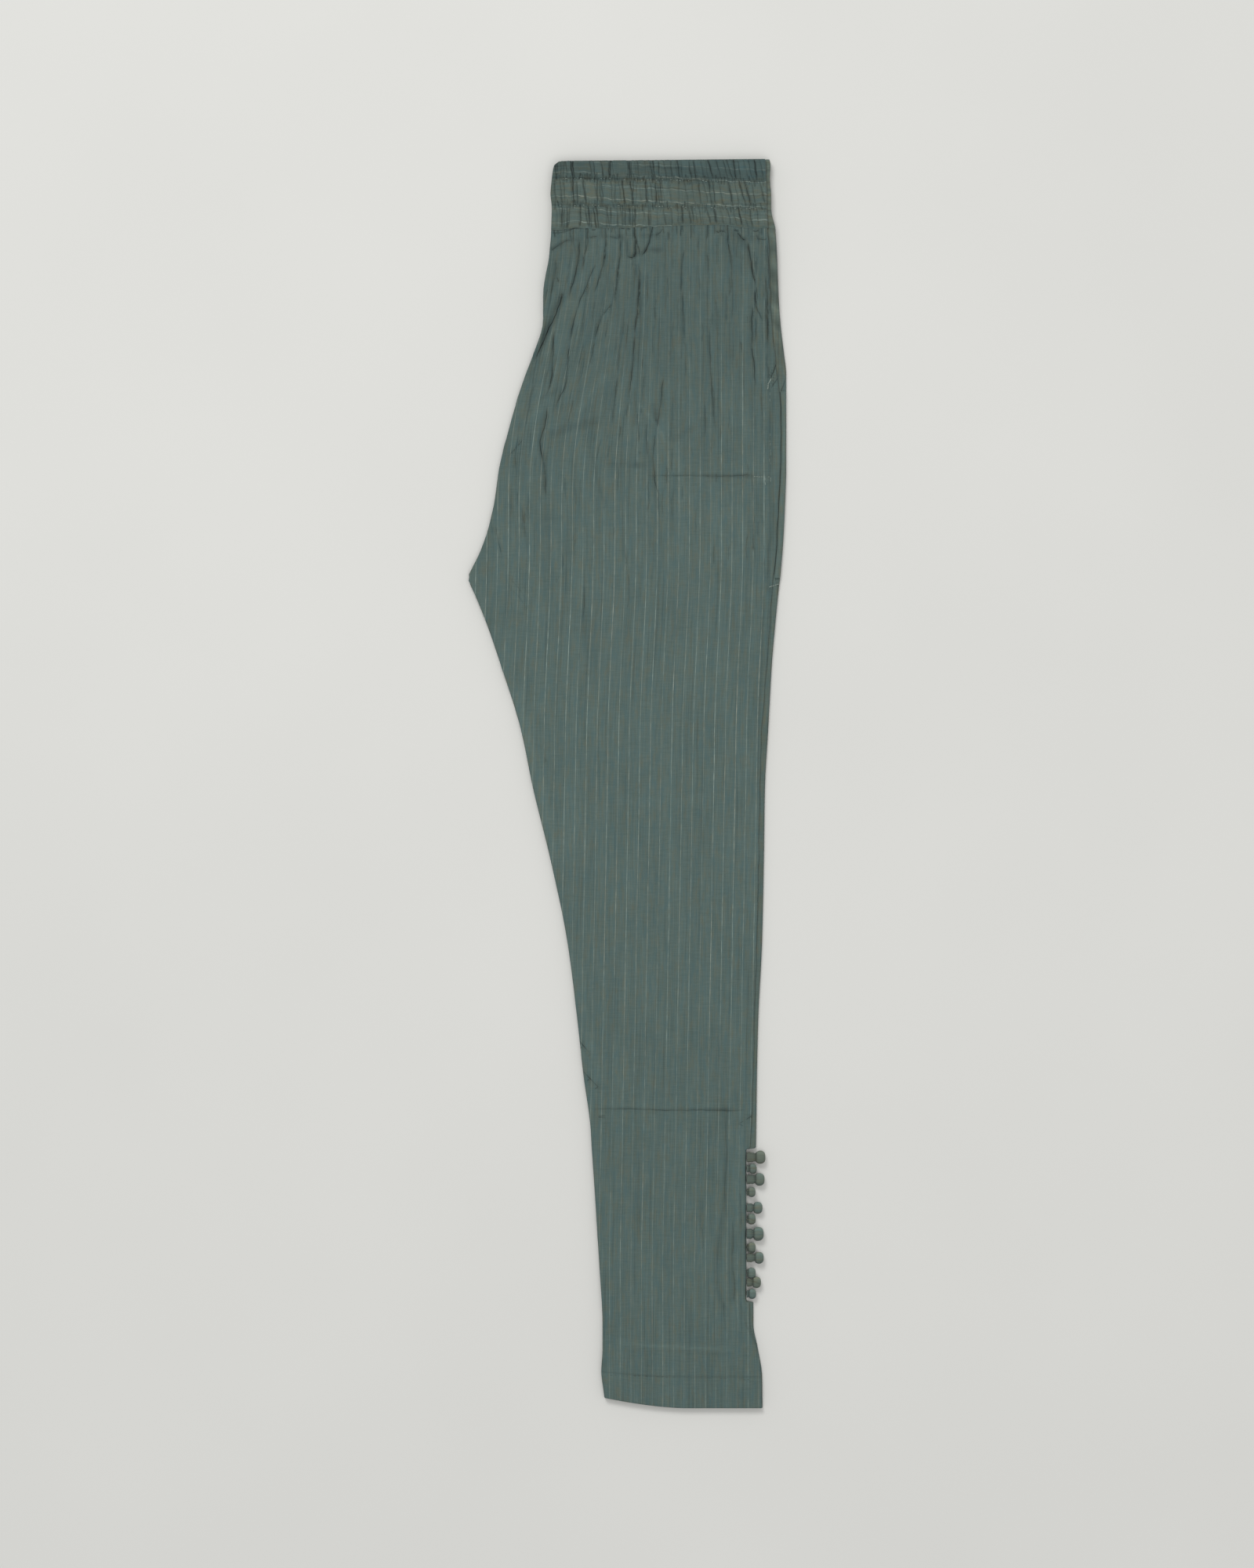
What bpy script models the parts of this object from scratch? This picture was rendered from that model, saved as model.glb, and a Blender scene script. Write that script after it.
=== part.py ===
"""Straight pants in pin-striped cotton, folded in half lengthwise and laid flat, waist at +Y.

The left leg lies on the right one with its front up. The rise and the inseam are at -X and the side
seams at +X. Sizes are in millimetres and become metres when a solid is made. A drop is the distance
from the waist's top edge, measured down the garment, and the garment rests on the plane z = 0.
"""

import bpy
import numpy as np

MM = 0.001

# Driving sizes
LENGTH = 987.5
WAIST_SEAM_DROP = 54.0
FORK_DROP = 331.0
WALL = 1.2
GAP = 0.3
BAND_WALL = 3.0

# Outline of the folded legs, a row for each place where it bends: the waist seam, the rise below the
# gathers, the pocket's upper end, the hip, the fork, the thigh, the knee, the calf, both ends of the
# ankle's slit and the hem. The left leg's side seam lies a little inside the right leg's.
LEG_COLUMNS = ("drop", "left", "right_upper", "right_lower")
LEG_SECTIONS = (
    (54, -60, 111.5, 117.5),
    (73, -61.3, 112.7, 118.7),
    (107, -66.5, 113.5, 120),
    (126, -66.5, 114.8, 121.2),
    (155, -74.8, 117.3, 124.5),
    (168.5, -80, 118.7, 126),
    (183, -85, 121, 126),
    (215, -94.2, 122, 126),
    (245, -101.5, 121.5, 126),
    (270, -105, 120.2, 125.2),
    (289, -109.2, 119.2, 124.4),
    (309, -116, 118.2, 123.2),
    (322.5, -122.4, 117, 122),
    (331, -126, 116, 121.3),
    (339, -122.5, 115.4, 120.2),
    (366, -111.5, 113.3, 117.5),
    (401, -99.5, 111, 114.5),
    (450, -84.2, 107, 111.8),
    (496, -74.7, 105.5, 109.2),
    (555, -60.3, 104.5, 108.3),
    (619, -47.2, 103, 106.9),
    (680, -39.4, 101, 103.9),
    (723, -34.7, 100.3, 102.9),
    (766, -28.9, 98.5, 102.3),
    (781.8, -28, 97.4, 102),
    (783, -27.9, 94.5, 94.5),
    (902.6, -20.1, 94.5, 94.5),
    (904, -20, 96.5, 100),
    (921, -19.4, 97.5, 100),
    (940, -19.4, 103, 103.5),
    (963, -20.4, 106.5, 107),
    (987.5, -18, 107, 107.3),
)

# Outline of the waistband: its rolled top, and the edges and middles of its elastic channels
BAND_COLUMNS = ("drop", "left", "right_upper", "right_lower")
BAND_SECTIONS = (
    (0, -54.5, 109, 113),
    (3, -57.5, 109.5, 113.5),
    (16, -59.5, 110, 113),
    (28, -60.5, 110.5, 114),
    (38.5, -59.5, 110.5, 114),
    (54, -60, 111.5, 117.5),
)

# Gathers and folds pressed into the left front panel
FOLD_COLUMNS = ("x_top", "drop_top", "x_low", "drop_low", "bow", "half_width", "depth")
FOLDS = (
    (-54, 97, -79, 171, 5, 3.6, 2.6),
    (-41.5, 55, -46.5, 112, 4, 2.6, 1.8),
    (-33, 70, -35, 93, 0, 2.4, 1.2),
    (-17, 55, -35, 111, 6, 2.6, 1.8),
    (-5.6, 57, -24, 126, 6, 2.8, 1.8),
    (5, 56, 12, 77, 0, 2.6, 2),
    (20, 56, 12, 77, 0, 2.6, 2),
    (8, 80, 2, 184, 3, 2.8, 2.6),
    (44.6, 68, 44.6, 130, -2, 2.6, 2),
    (80, 57, 83.5, 95, 0, 2.6, 1.8),
    (98, 62, 107, 128, -2, 2.8, 2.2),
    (109, 72, 110, 110, 0, 2.4, 1.2),
    (-65, 209, -64.5, 268, -2, 3.2, 1.2),
    (9, 200, 11, 232, 0, 3, 1),
    (26, 180, 25, 286, -3, 3.4, 1.3),
    (-102, 288, -98, 318, 0, 3.4, 1),
)

# Sections of the legs are at most this far apart, so that the folds above the fork keep their shape
GATHERED_STEP = 16.0
PLAIN_STEP = 32.0

# Heights of the stack: the legs lie nearly flat and the cloth rises to the gathered waistband
CORE_TOP_FLAT = 3.9
CORE_TOP_AT_BAND = 9.4
RISE_ENDS_DROP = 175.0

# Left front panel
PANEL_SEGMENTS = 96
FLAT_RELIEF = 0.35
PUFF = 2.4
PUFF_FADES_OVER = 110.0
FOLD_TAPER = 0.28
SEAM_GATHERS = 24
SEAM_GATHER_DEPTH = 1.4
SEAM_GATHER_FADES_OVER = 22.0
HEM_DROP = 940.0
HEM_EXTRA = 0.6
HEM_SLANT = 7.4
HEM_SLANT_POWER = 2.2

# Gathers come now closer and now wider apart: each row slides them along by a slow wave
SWING_COLUMNS = ("gathers", "waves", "start")
SPACING_SWINGS = (
    (0.3, 19.5, 0.0),
    (0.12, 45.9, 1.1),
)

# Left front waistband
BAND_GATHERS = 45
COLUMNS_PER_GATHER = 4
GATHER_SHAPE = (0.0, 0.35, 1.0, 0.35)
BAND_GATHER_DEPTH = 1.1
DEPTH_SWING = 0.3
DEPTH_SWING_STEP = 2.4
PHASE_SAMPLES = 2001
CHANNEL_EDGE_DROPS = (0.0, 16.0, 38.5, 54.0)
CHANNEL_CROWN = 1.1
BAND_STEP = 6.5
WAIST_SLANT = 1.6
WAIST_SLANT_FADES_OVER = 16.0

# Pocket mouth in the side seam
POCKET_TOP_DROP = 175.0
POCKET_BOTTOM_DROP = 338.0
POCKET_FACING_WIDTH = 4.5

# A wall's edge turns down: its height at the rim and at the turn, as shares of its full height
TURN_OFFSET = 0.9
FULL_OFFSET = 2.6
RIM_HEIGHT_SHARE = 0.35
TURN_HEIGHT_SHARE = 0.8
INNER_INSET = 0.5
INNER_FACE_SHARES = (1.0, 0.66, 0.33, 0.0)

# Hidden layers: the rounding of each layer's edge and the groove between the two legs
LOBE_ROUNDING = 0.35
GROOVE_DEPTH = 2.5

# Cloth-covered ball buttons along the ankle's side seam
BUTTON_COLUMNS = ("drop", "x", "width")
RIGHT_BUTTONS = (
    (789, 106, 10.5),
    (806.5, 105.5, 10),
    (829, 104, 9.5),
    (849.5, 104.5, 11),
    (868.5, 105, 9.5),
    (888, 103, 9),
)
LEFT_BUTTONS = (
    (798, 100, 8),
    (816.5, 99, 8),
    (838, 99, 8.5),
    (860.5, 99, 8.5),
    (880.5, 99, 8.5),
    (897, 99.5, 8),
)
BUTTON_SIDES = 10
BUTTON_REST_HEIGHT = 4.8
BALL_LENGTH_SHARE = 0.34
BALL_HEIGHT_SHARE = 0.42
BALL_BASE_ANGLE = -60.0
BALL_TIP_ANGLE = 78.0
BALL_RINGS = 6
TAIL_START_X = 94.8
TAIL_SHARE = 0.31
NECK_SHARE = 0.26
NECK_LENGTH = 0.6

# Colours, linear, as seen on the cloth
CLOTH_COLOUR = (0.100, 0.138, 0.127, 1.0)
BAND_COLOUR = (0.092, 0.120, 0.104, 1.0)
FACING_COLOUR = (0.086, 0.118, 0.109, 1.0)
BUTTON_COLOUR = (0.115, 0.150, 0.138, 1.0)
CLOTH_ROUGHNESS = 0.92
SHARP_ANGLE = np.radians(50)


def column(table, columns, name):
    """One named column of a table, as an array."""
    return np.array([row[columns.index(name)] for row in table], float)


def smooth_step(value):
    """0 below 0, 1 above 1 and an even ease between."""
    share = np.clip(value, 0.0, 1.0)
    return share * share * (3.0 - 2.0 * share)


def drops_between(table, columns, longest_step):
    """The table's drops, with even steps added wherever two of them lie too far apart."""
    knots = column(table, columns, "drop")
    drops = [knots[0]]
    for low, high in zip(knots[:-1], knots[1:]):
        count = int(np.ceil((high - low) / longest_step(low)))
        drops.extend(low + (high - low) * np.arange(1, count + 1) / count)
    return np.array(drops)


def edge(table, columns, name, drops):
    """An outline's column at each drop: a smooth curve through its rows that never swings past them.

    Its slope at a row is the harmonic mean of the slopes to both neighbours, or 0 where it turns back.
    Between two rows it is the cubic with their heights and slopes.
    """
    knots = column(table, columns, "drop")
    values = column(table, columns, name)
    spans = np.diff(knots)
    steps = np.diff(values)
    slopes = steps / spans
    before, after = slopes[:-1], slopes[1:]
    onward = before * after > 0.0
    mean = 2.0 * before * after / np.where(onward, before + after, 1.0)
    tilts = np.concatenate((slopes[:1], np.where(onward, mean, 0.0), slopes[-1:]))
    row = np.clip(np.searchsorted(knots, drops, side="right") - 1, 0, len(spans) - 1)
    share = np.clip((drops - knots[row]) / spans[row], 0.0, 1.0)
    bend = tilts[row] * (1.0 - share) - tilts[row + 1] * share
    bend = bend * spans[row] * share * (1.0 - share)
    return values[row] + steps[row] * smooth_step(share) + bend


def leg_step(drop):
    return GATHERED_STEP if drop < FORK_DROP else PLAIN_STEP


def core_top(drops):
    """Top of the hidden back panels: flat in the legs, rising to the waistband."""
    rise = (RISE_ENDS_DROP - drops) / (RISE_ENDS_DROP - WAIST_SEAM_DROP)
    return CORE_TOP_FLAT + (CORE_TOP_AT_BAND - CORE_TOP_FLAT) * smooth_step(rise)


def uneven_phase(share, waves):
    """Counts waves across the cloth, from about 0 to their number, at uneven steps."""
    phase = waves * share
    for row in SPACING_SWINGS:
        swing = dict(zip(SWING_COLUMNS, row))
        phase = phase + swing["gathers"] * np.sin(swing["waves"] * share + swing["start"])
    return phase


def fold_relief(x, drops):
    """Depth of all the pressed folds at each point: a soft trough along each fold's bowed line."""
    depth = np.zeros_like(x)
    for row in FOLDS:
        fold = dict(zip(FOLD_COLUMNS, row))
        along = (drops - fold["drop_top"]) / (fold["drop_low"] - fold["drop_top"])
        inside = np.clip(along, 0.0, 1.0)
        line = fold["x_top"] + (fold["x_low"] - fold["x_top"]) * inside
        line = line + fold["bow"] * np.sin(np.pi * inside)
        starts = smooth_step(0.5 + along / FOLD_TAPER)
        ends = smooth_step(0.5 + (1.0 - along) / FOLD_TAPER)
        trough = np.exp(-(((x - line) / fold["half_width"]) ** 2))
        depth = np.maximum(depth, fold["depth"] * trough * starts * ends)
    return depth


def panel_relief(x, drops, share):
    """Height of the left front panel's outer face over its thinnest: puff, gathers, folds and hem."""
    below_seam = drops - WAIST_SEAM_DROP
    puff = FLAT_RELIEF + PUFF * np.exp(-((below_seam / PUFF_FADES_OVER) ** 2))
    fade = np.exp(-below_seam / SEAM_GATHER_FADES_OVER)
    wave = 0.5 + 0.5 * np.cos(2.0 * np.pi * uneven_phase(share, SEAM_GATHERS))
    gathers = SEAM_GATHER_DEPTH * fade * wave
    hem = np.where(drops > HEM_DROP, HEM_EXTRA, 0.0)
    return np.maximum(puff - gathers - fold_relief(x, drops), 0.0) + hem


def channel_crown(drops):
    """How far each elastic channel stands up between its stitched edges."""
    crown = np.zeros_like(drops)
    for low, high in zip(CHANNEL_EDGE_DROPS[:-1], CHANNEL_EDGE_DROPS[1:]):
        inside = np.clip((drops - low) / (high - low), 0.0, 1.0)
        crown = crown + CHANNEL_CROWN * np.sin(np.pi * inside)
    return crown


def cloth_material(name, colour):
    material = bpy.data.materials.new(name)
    material.use_nodes = True
    shader = material.node_tree.nodes["Principled BSDF"]
    shader.inputs["Base Color"].default_value = colour
    shader.inputs["Roughness"].default_value = CLOTH_ROUGHNESS
    shader.inputs["Metallic"].default_value = 0.0
    return material


def loft(name, rings, colour):
    """A closed solid through rings of millimetre points, an array of shape (rings, points, 3)."""
    ring_count, point_count = rings.shape[:2]
    points = rings.reshape(-1, 3) * MM
    faces = []
    for ring in range(ring_count - 1):
        here = ring * point_count
        there = here + point_count
        for point in range(point_count):
            after = (point + 1) % point_count
            faces.append((here + point, there + point, there + after, here + after))
    faces.append(tuple(range(point_count)))
    last = (ring_count - 1) * point_count
    faces.append(tuple(range(last, last + point_count))[::-1])
    mesh = bpy.data.meshes.new(name)
    mesh.from_pydata(points.tolist(), [], faces)
    mesh.materials.append(cloth_material(name, colour))
    mesh.shade_smooth()
    mesh.set_sharp_from_angle(angle=SHARP_ANGLE)
    solid = bpy.data.objects.new(name, mesh)
    bpy.context.scene.collection.objects.link(solid)
    return solid


def rings_of(sides, drops):
    """Rings for a loft, from the (x, z) or (x, z, extra drop) arrays of each point round a section."""
    rings = np.empty((len(drops), len(sides), 3))
    for index, side in enumerate(sides):
        x, z = side[:2]
        extra = side[2] if len(side) > 2 else 0.0
        rings[:, index, 0] = x
        rings[:, index, 1] = LENGTH / 2.0 - (drops + extra)
        rings[:, index, 2] = z
    return rings


def wall_sides(left, right, bottom, top_of, shares, slant_of):
    """Points round a wall's section: the outer face from left to right, then the plain inner face back.

    top_of(x, share) gives the outer face's height and slant_of(share) moves a point down the garment,
    where share runs from 0 to 1 across the face between its turned edges.
    """
    face_left = left + FULL_OFFSET
    face_width = right - left - 2.0 * FULL_OFFSET

    def outer(x, height_share):
        share = np.clip((x - face_left) / face_width, 0.0, 1.0)
        return x, bottom + (top_of(x, share) - bottom) * height_share, slant_of(share)

    sides = [outer(left, RIM_HEIGHT_SHARE), outer(left + TURN_OFFSET, TURN_HEIGHT_SHARE)]
    sides += [outer(face_left + face_width * share, 1.0) for share in shares]
    sides += [outer(right - TURN_OFFSET, TURN_HEIGHT_SHARE), outer(right, RIM_HEIGHT_SHARE)]
    for share in INNER_FACE_SHARES:
        x = left + INNER_INSET + (right - left - 2.0 * INNER_INSET) * share
        sides.append((x, bottom, slant_of(share)))
    return sides


def hidden_layer_sides(left, right_upper, right_lower, bottom, top, slant_of):
    """Points round the hidden layers' section: two rounded lobes with a groove between them."""
    middle = (bottom + top) / 2.0
    round_by = LOBE_ROUNDING * (middle - bottom)
    deep = GROOVE_DEPTH + round_by
    slit = GAP / 2.0

    def lobe(edge_x, inward, low, high):
        return (
            (edge_x + inward * round_by, high),
            (edge_x, (low + high) / 2.0),
            (edge_x + inward * round_by, low),
        )

    upper_right = lobe(right_upper, -1.0, middle + slit, top)
    lower_right = lobe(right_lower, -1.0, bottom, middle - slit)
    lower_left = lobe(left, 1.0, bottom, middle - slit)[::-1]
    upper_left = lobe(left, 1.0, middle + slit, top)[::-1]
    corners = [*upper_right, (right_upper - deep, middle), *lower_right]
    corners += [*lower_left, (left + deep, middle), *upper_left]
    width = right_upper - left
    return [(x, z, slant_of((x - left) / width)) for x, z in corners]


def flat_layer_sides(left, right, top, slant_of):
    """Points round the undermost layer's section, flat where it rests."""
    width = right - left
    floor = np.zeros_like(top)
    corners = (
        (left + INNER_INSET, top),
        (right - INNER_INSET, top),
        (right, top / 2.0),
        (right - INNER_INSET, floor),
        (left + INNER_INSET, floor),
        (left, top / 2.0),
    )
    return [(x, z, slant_of((x - left) / width)) for x, z in corners]


def hem_slant(drops):
    """Moves the hem's points up towards the inseam, where the bottom edge rises."""
    weight = -HEM_SLANT * smooth_step((drops - HEM_DROP) / (LENGTH - HEM_DROP))
    return lambda share: weight * np.clip(1.0 - share, 0.0, 1.0) ** HEM_SLANT_POWER


def waist_slant(drops):
    """Moves the waist's points down towards the rise, where the top edge falls."""
    weight = WAIST_SLANT * (1.0 - smooth_step(drops / WAIST_SLANT_FADES_OVER))
    return lambda share: weight * np.clip(1.0 - share, 0.0, 1.0)


def make_left_front_panel(drops):
    left = edge(LEG_SECTIONS, LEG_COLUMNS, "left", drops)
    right = edge(LEG_SECTIONS, LEG_COLUMNS, "right_upper", drops)
    bottom = core_top(drops) + GAP
    shares = np.arange(PANEL_SEGMENTS + 1) / PANEL_SEGMENTS

    def top_of(x, share):
        return bottom + WALL + panel_relief(x, drops, share)

    sides = wall_sides(left, right, bottom, top_of, shares, hem_slant(drops))
    loft("left_front_panel", rings_of(sides, drops), CLOTH_COLOUR)


def make_folded_back_panels(drops):
    left = edge(LEG_SECTIONS, LEG_COLUMNS, "left", drops)
    right_upper = edge(LEG_SECTIONS, LEG_COLUMNS, "right_upper", drops)
    right_lower = edge(LEG_SECTIONS, LEG_COLUMNS, "right_lower", drops)
    bottom = np.full_like(drops, WALL + GAP)
    slant = hem_slant(drops)
    sides = hidden_layer_sides(left, right_upper, right_lower, bottom, core_top(drops), slant)
    loft("folded_back_panels", rings_of(sides, drops), CLOTH_COLOUR)


def make_right_front_panel(drops):
    left = edge(LEG_SECTIONS, LEG_COLUMNS, "left", drops)
    right = edge(LEG_SECTIONS, LEG_COLUMNS, "right_lower", drops)
    beside_pocket = (drops >= POCKET_TOP_DROP) & (drops <= POCKET_BOTTOM_DROP)
    right = np.where(beside_pocket, right - POCKET_FACING_WIDTH, right)
    top = np.full_like(drops, WALL)
    sides = flat_layer_sides(left, right, top, hem_slant(drops))
    loft("right_front_panel", rings_of(sides, drops), CLOTH_COLOUR)


def make_pocket_facing(name, drops, left_of, bottom_of, top_of):
    """A strip of facing that fills the side seam's edge along the pocket mouth."""
    inside = drops[(drops > POCKET_TOP_DROP) & (drops < POCKET_BOTTOM_DROP)]
    right = edge(LEG_SECTIONS, LEG_COLUMNS, "right_lower", inside) - GAP
    left = left_of(inside) + GAP
    corners = (
        (left, top_of(inside)),
        (right - INNER_INSET, top_of(inside)),
        (right, (top_of(inside) + bottom_of(inside)) / 2.0),
        (right - INNER_INSET, bottom_of(inside)),
        (left, bottom_of(inside)),
    )
    loft(name, rings_of(corners, inside), FACING_COLOUR)


def make_pocket_facings(drops):
    """The left pocket's facing lies on the right leg's edge, the right pocket's on the floor."""

    def mouth_edge(inside):
        return edge(LEG_SECTIONS, LEG_COLUMNS, "right_upper", inside)

    def lower_mouth_edge(inside):
        return edge(LEG_SECTIONS, LEG_COLUMNS, "right_lower", inside) - POCKET_FACING_WIDTH

    def lobe_top(inside):
        return (WALL + GAP + core_top(inside)) / 2.0

    make_pocket_facing(
        "left_pocket_facing",
        drops,
        mouth_edge,
        lambda inside: lobe_top(inside) + GAP,
        lambda inside: core_top(inside) + GAP,
    )
    make_pocket_facing(
        "right_pocket_facing",
        drops,
        lower_mouth_edge,
        lambda inside: np.zeros_like(inside),
        lambda inside: np.full_like(inside, WALL),
    )


def make_left_front_waistband(drops):
    """The gathered quarter on top. Each gather has the same few columns, at even steps of its phase."""
    left = edge(BAND_SECTIONS, BAND_COLUMNS, "left", drops)
    right = edge(BAND_SECTIONS, BAND_COLUMNS, "right_upper", drops)
    bottom = np.full_like(drops, 3.0 * BAND_WALL + GAP)
    fine_shares = np.linspace(0.0, 1.0, PHASE_SAMPLES)
    phases = uneven_phase(fine_shares, BAND_GATHERS)
    columns = np.arange(BAND_GATHERS * COLUMNS_PER_GATHER + 1)
    shares = np.interp(np.linspace(phases[0], phases[-1], len(columns)), phases, fine_shares)
    swing = 1.0 + DEPTH_SWING * np.sin(DEPTH_SWING_STEP * (columns // COLUMNS_PER_GATHER))
    dips = BAND_GATHER_DEPTH * swing * np.resize(GATHER_SHAPE, len(columns))
    crown = channel_crown(drops)

    def top_of(x, share):
        return bottom + BAND_WALL + crown - np.interp(share, shares, dips)

    sides = wall_sides(left, right, bottom, top_of, shares, waist_slant(drops))
    loft("left_front_waistband", rings_of(sides, drops), BAND_COLOUR)


def make_folded_back_waistband(drops):
    left = edge(BAND_SECTIONS, BAND_COLUMNS, "left", drops)
    right_upper = edge(BAND_SECTIONS, BAND_COLUMNS, "right_upper", drops)
    right_lower = edge(BAND_SECTIONS, BAND_COLUMNS, "right_lower", drops)
    bottom = np.full_like(drops, BAND_WALL + GAP)
    top = np.full_like(drops, 3.0 * BAND_WALL)
    slant = waist_slant(drops)
    sides = hidden_layer_sides(left, right_upper, right_lower, bottom, top, slant)
    loft("folded_back_waistband", rings_of(sides, drops), BAND_COLOUR)


def make_right_front_waistband(drops):
    left = edge(BAND_SECTIONS, BAND_COLUMNS, "left", drops)
    right = edge(BAND_SECTIONS, BAND_COLUMNS, "right_lower", drops)
    top = np.full_like(drops, BAND_WALL)
    sides = flat_layer_sides(left, right, top, waist_slant(drops))
    loft("right_front_waistband", rings_of(sides, drops), BAND_COLOUR)


def make_button(name, row):
    """A flattened ball turned about a line along X, with its tied neck and its cloth tail."""
    button = dict(zip(BUTTON_COLUMNS, row))
    width = button["width"]
    angles = np.radians(np.linspace(BALL_BASE_ANGLE, BALL_TIP_ANGLE, BALL_RINGS))
    ball_along = button["x"] + BALL_LENGTH_SHARE * width * np.sin(angles)
    neck = ball_along[0] - NECK_LENGTH
    along = np.concatenate(([TAIL_START_X, neck - NECK_LENGTH, neck], ball_along))
    tail_girth = width * np.array([TAIL_SHARE, TAIL_SHARE, NECK_SHARE])
    girth = np.concatenate((tail_girth, width / 2.0 * np.cos(angles)))
    turns = -2.0 * np.pi * np.arange(BUTTON_SIDES) / BUTTON_SIDES
    rings = np.empty((len(along), BUTTON_SIDES, 3))
    rings[:, :, 0] = along[:, None]
    rings[:, :, 1] = LENGTH / 2.0 - button["drop"] + np.outer(girth, np.cos(turns))
    flatten = 2.0 * BALL_HEIGHT_SHARE
    rings[:, :, 2] = BUTTON_REST_HEIGHT + flatten * np.outer(girth, np.sin(turns))
    loft(name, rings, BUTTON_COLOUR)


def make_buttons():
    for number, row in enumerate(RIGHT_BUTTONS, 1):
        make_button(f"right_ankle_button_{number}", row)
    for number, row in enumerate(LEFT_BUTTONS, 1):
        make_button(f"left_ankle_button_{number}", row)


def main():
    for old in list(bpy.data.objects):
        bpy.data.objects.remove(old)

    leg_drops = drops_between(LEG_SECTIONS, LEG_COLUMNS, leg_step)
    leg_drops[0] += GAP / 2.0
    band_drops = drops_between(BAND_SECTIONS, BAND_COLUMNS, lambda drop: BAND_STEP)
    band_drops[-1] -= GAP / 2.0

    make_left_front_panel(leg_drops)
    make_folded_back_panels(leg_drops)
    make_right_front_panel(leg_drops)
    make_pocket_facings(leg_drops)
    make_left_front_waistband(band_drops)
    make_folded_back_waistband(band_drops)
    make_right_front_waistband(band_drops)
    make_buttons()


main()
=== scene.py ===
"""Straight pants in pin-striped cotton, folded in half lengthwise and laid flat: the finished looks.

Every piece is worked out in millimetres, as x across the garment and drop down from the waist's top
edge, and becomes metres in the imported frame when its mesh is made.
"""

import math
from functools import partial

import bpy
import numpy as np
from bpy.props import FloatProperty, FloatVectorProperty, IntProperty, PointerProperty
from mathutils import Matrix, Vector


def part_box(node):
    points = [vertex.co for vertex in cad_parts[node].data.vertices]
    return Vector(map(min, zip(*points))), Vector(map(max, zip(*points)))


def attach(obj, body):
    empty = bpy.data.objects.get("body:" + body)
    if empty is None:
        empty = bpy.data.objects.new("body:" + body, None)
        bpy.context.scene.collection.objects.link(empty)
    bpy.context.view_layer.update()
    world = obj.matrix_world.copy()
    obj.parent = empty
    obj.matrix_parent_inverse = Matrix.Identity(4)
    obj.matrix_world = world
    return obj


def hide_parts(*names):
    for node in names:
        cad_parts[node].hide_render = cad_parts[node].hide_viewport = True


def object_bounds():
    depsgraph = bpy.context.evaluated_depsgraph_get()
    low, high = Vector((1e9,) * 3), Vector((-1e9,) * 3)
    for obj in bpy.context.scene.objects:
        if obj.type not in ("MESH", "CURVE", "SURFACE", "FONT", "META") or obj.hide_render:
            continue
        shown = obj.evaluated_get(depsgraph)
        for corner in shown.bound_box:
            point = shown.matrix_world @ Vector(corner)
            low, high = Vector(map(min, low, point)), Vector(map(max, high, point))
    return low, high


bl_info = {
    "name": "Folded striped pants",
    "version": (1, 0, 0),
    "blender": (4, 5, 0),
    "location": "3D View > Sidebar > Pants",
    "description": "Makes folded pin-striped cotton pants round their packed solids",
    "category": "Object",
}

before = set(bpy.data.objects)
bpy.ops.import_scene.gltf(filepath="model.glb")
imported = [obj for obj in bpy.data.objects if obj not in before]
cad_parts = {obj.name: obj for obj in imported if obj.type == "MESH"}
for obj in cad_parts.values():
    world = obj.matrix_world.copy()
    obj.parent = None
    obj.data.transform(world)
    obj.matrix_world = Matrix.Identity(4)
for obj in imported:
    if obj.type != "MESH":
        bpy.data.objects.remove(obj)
CAD_BOX = [list(corner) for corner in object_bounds()]

MM = 0.001

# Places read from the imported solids
WAIST_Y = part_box("left_front_waistband")[1].y
HEM_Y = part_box("left_front_panel")[0].y
LENGTH = (WAIST_Y - HEM_Y) / MM
BAND_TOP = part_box("folded_back_waistband")[1].z / MM
CORE_TOP_AT_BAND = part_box("folded_back_panels")[1].z / MM
PANEL_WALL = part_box("right_front_panel")[1].z / MM
BAND_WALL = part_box("right_front_waistband")[1].z / MM

# Places down the garment
WAIST_SEAM_DROP = 54.0
FORK_DROP = 331.0
HEM_DROP = 940.0
HEM_STITCH_DROP = 963.0
BAND_STITCH_DROPS = (16.3, 37.5)
BAND_STITCH_SLANT = 0.018

# The pocket's mouth in the side seam
POCKET_DROPS = tuple((WAIST_Y - corner.y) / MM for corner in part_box("left_pocket_facing")[::-1])

# Heights of the stack
GAP = 0.3
CORE_TOP_FLAT = 3.9
RISE_ENDS_DROP = 175.0

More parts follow.
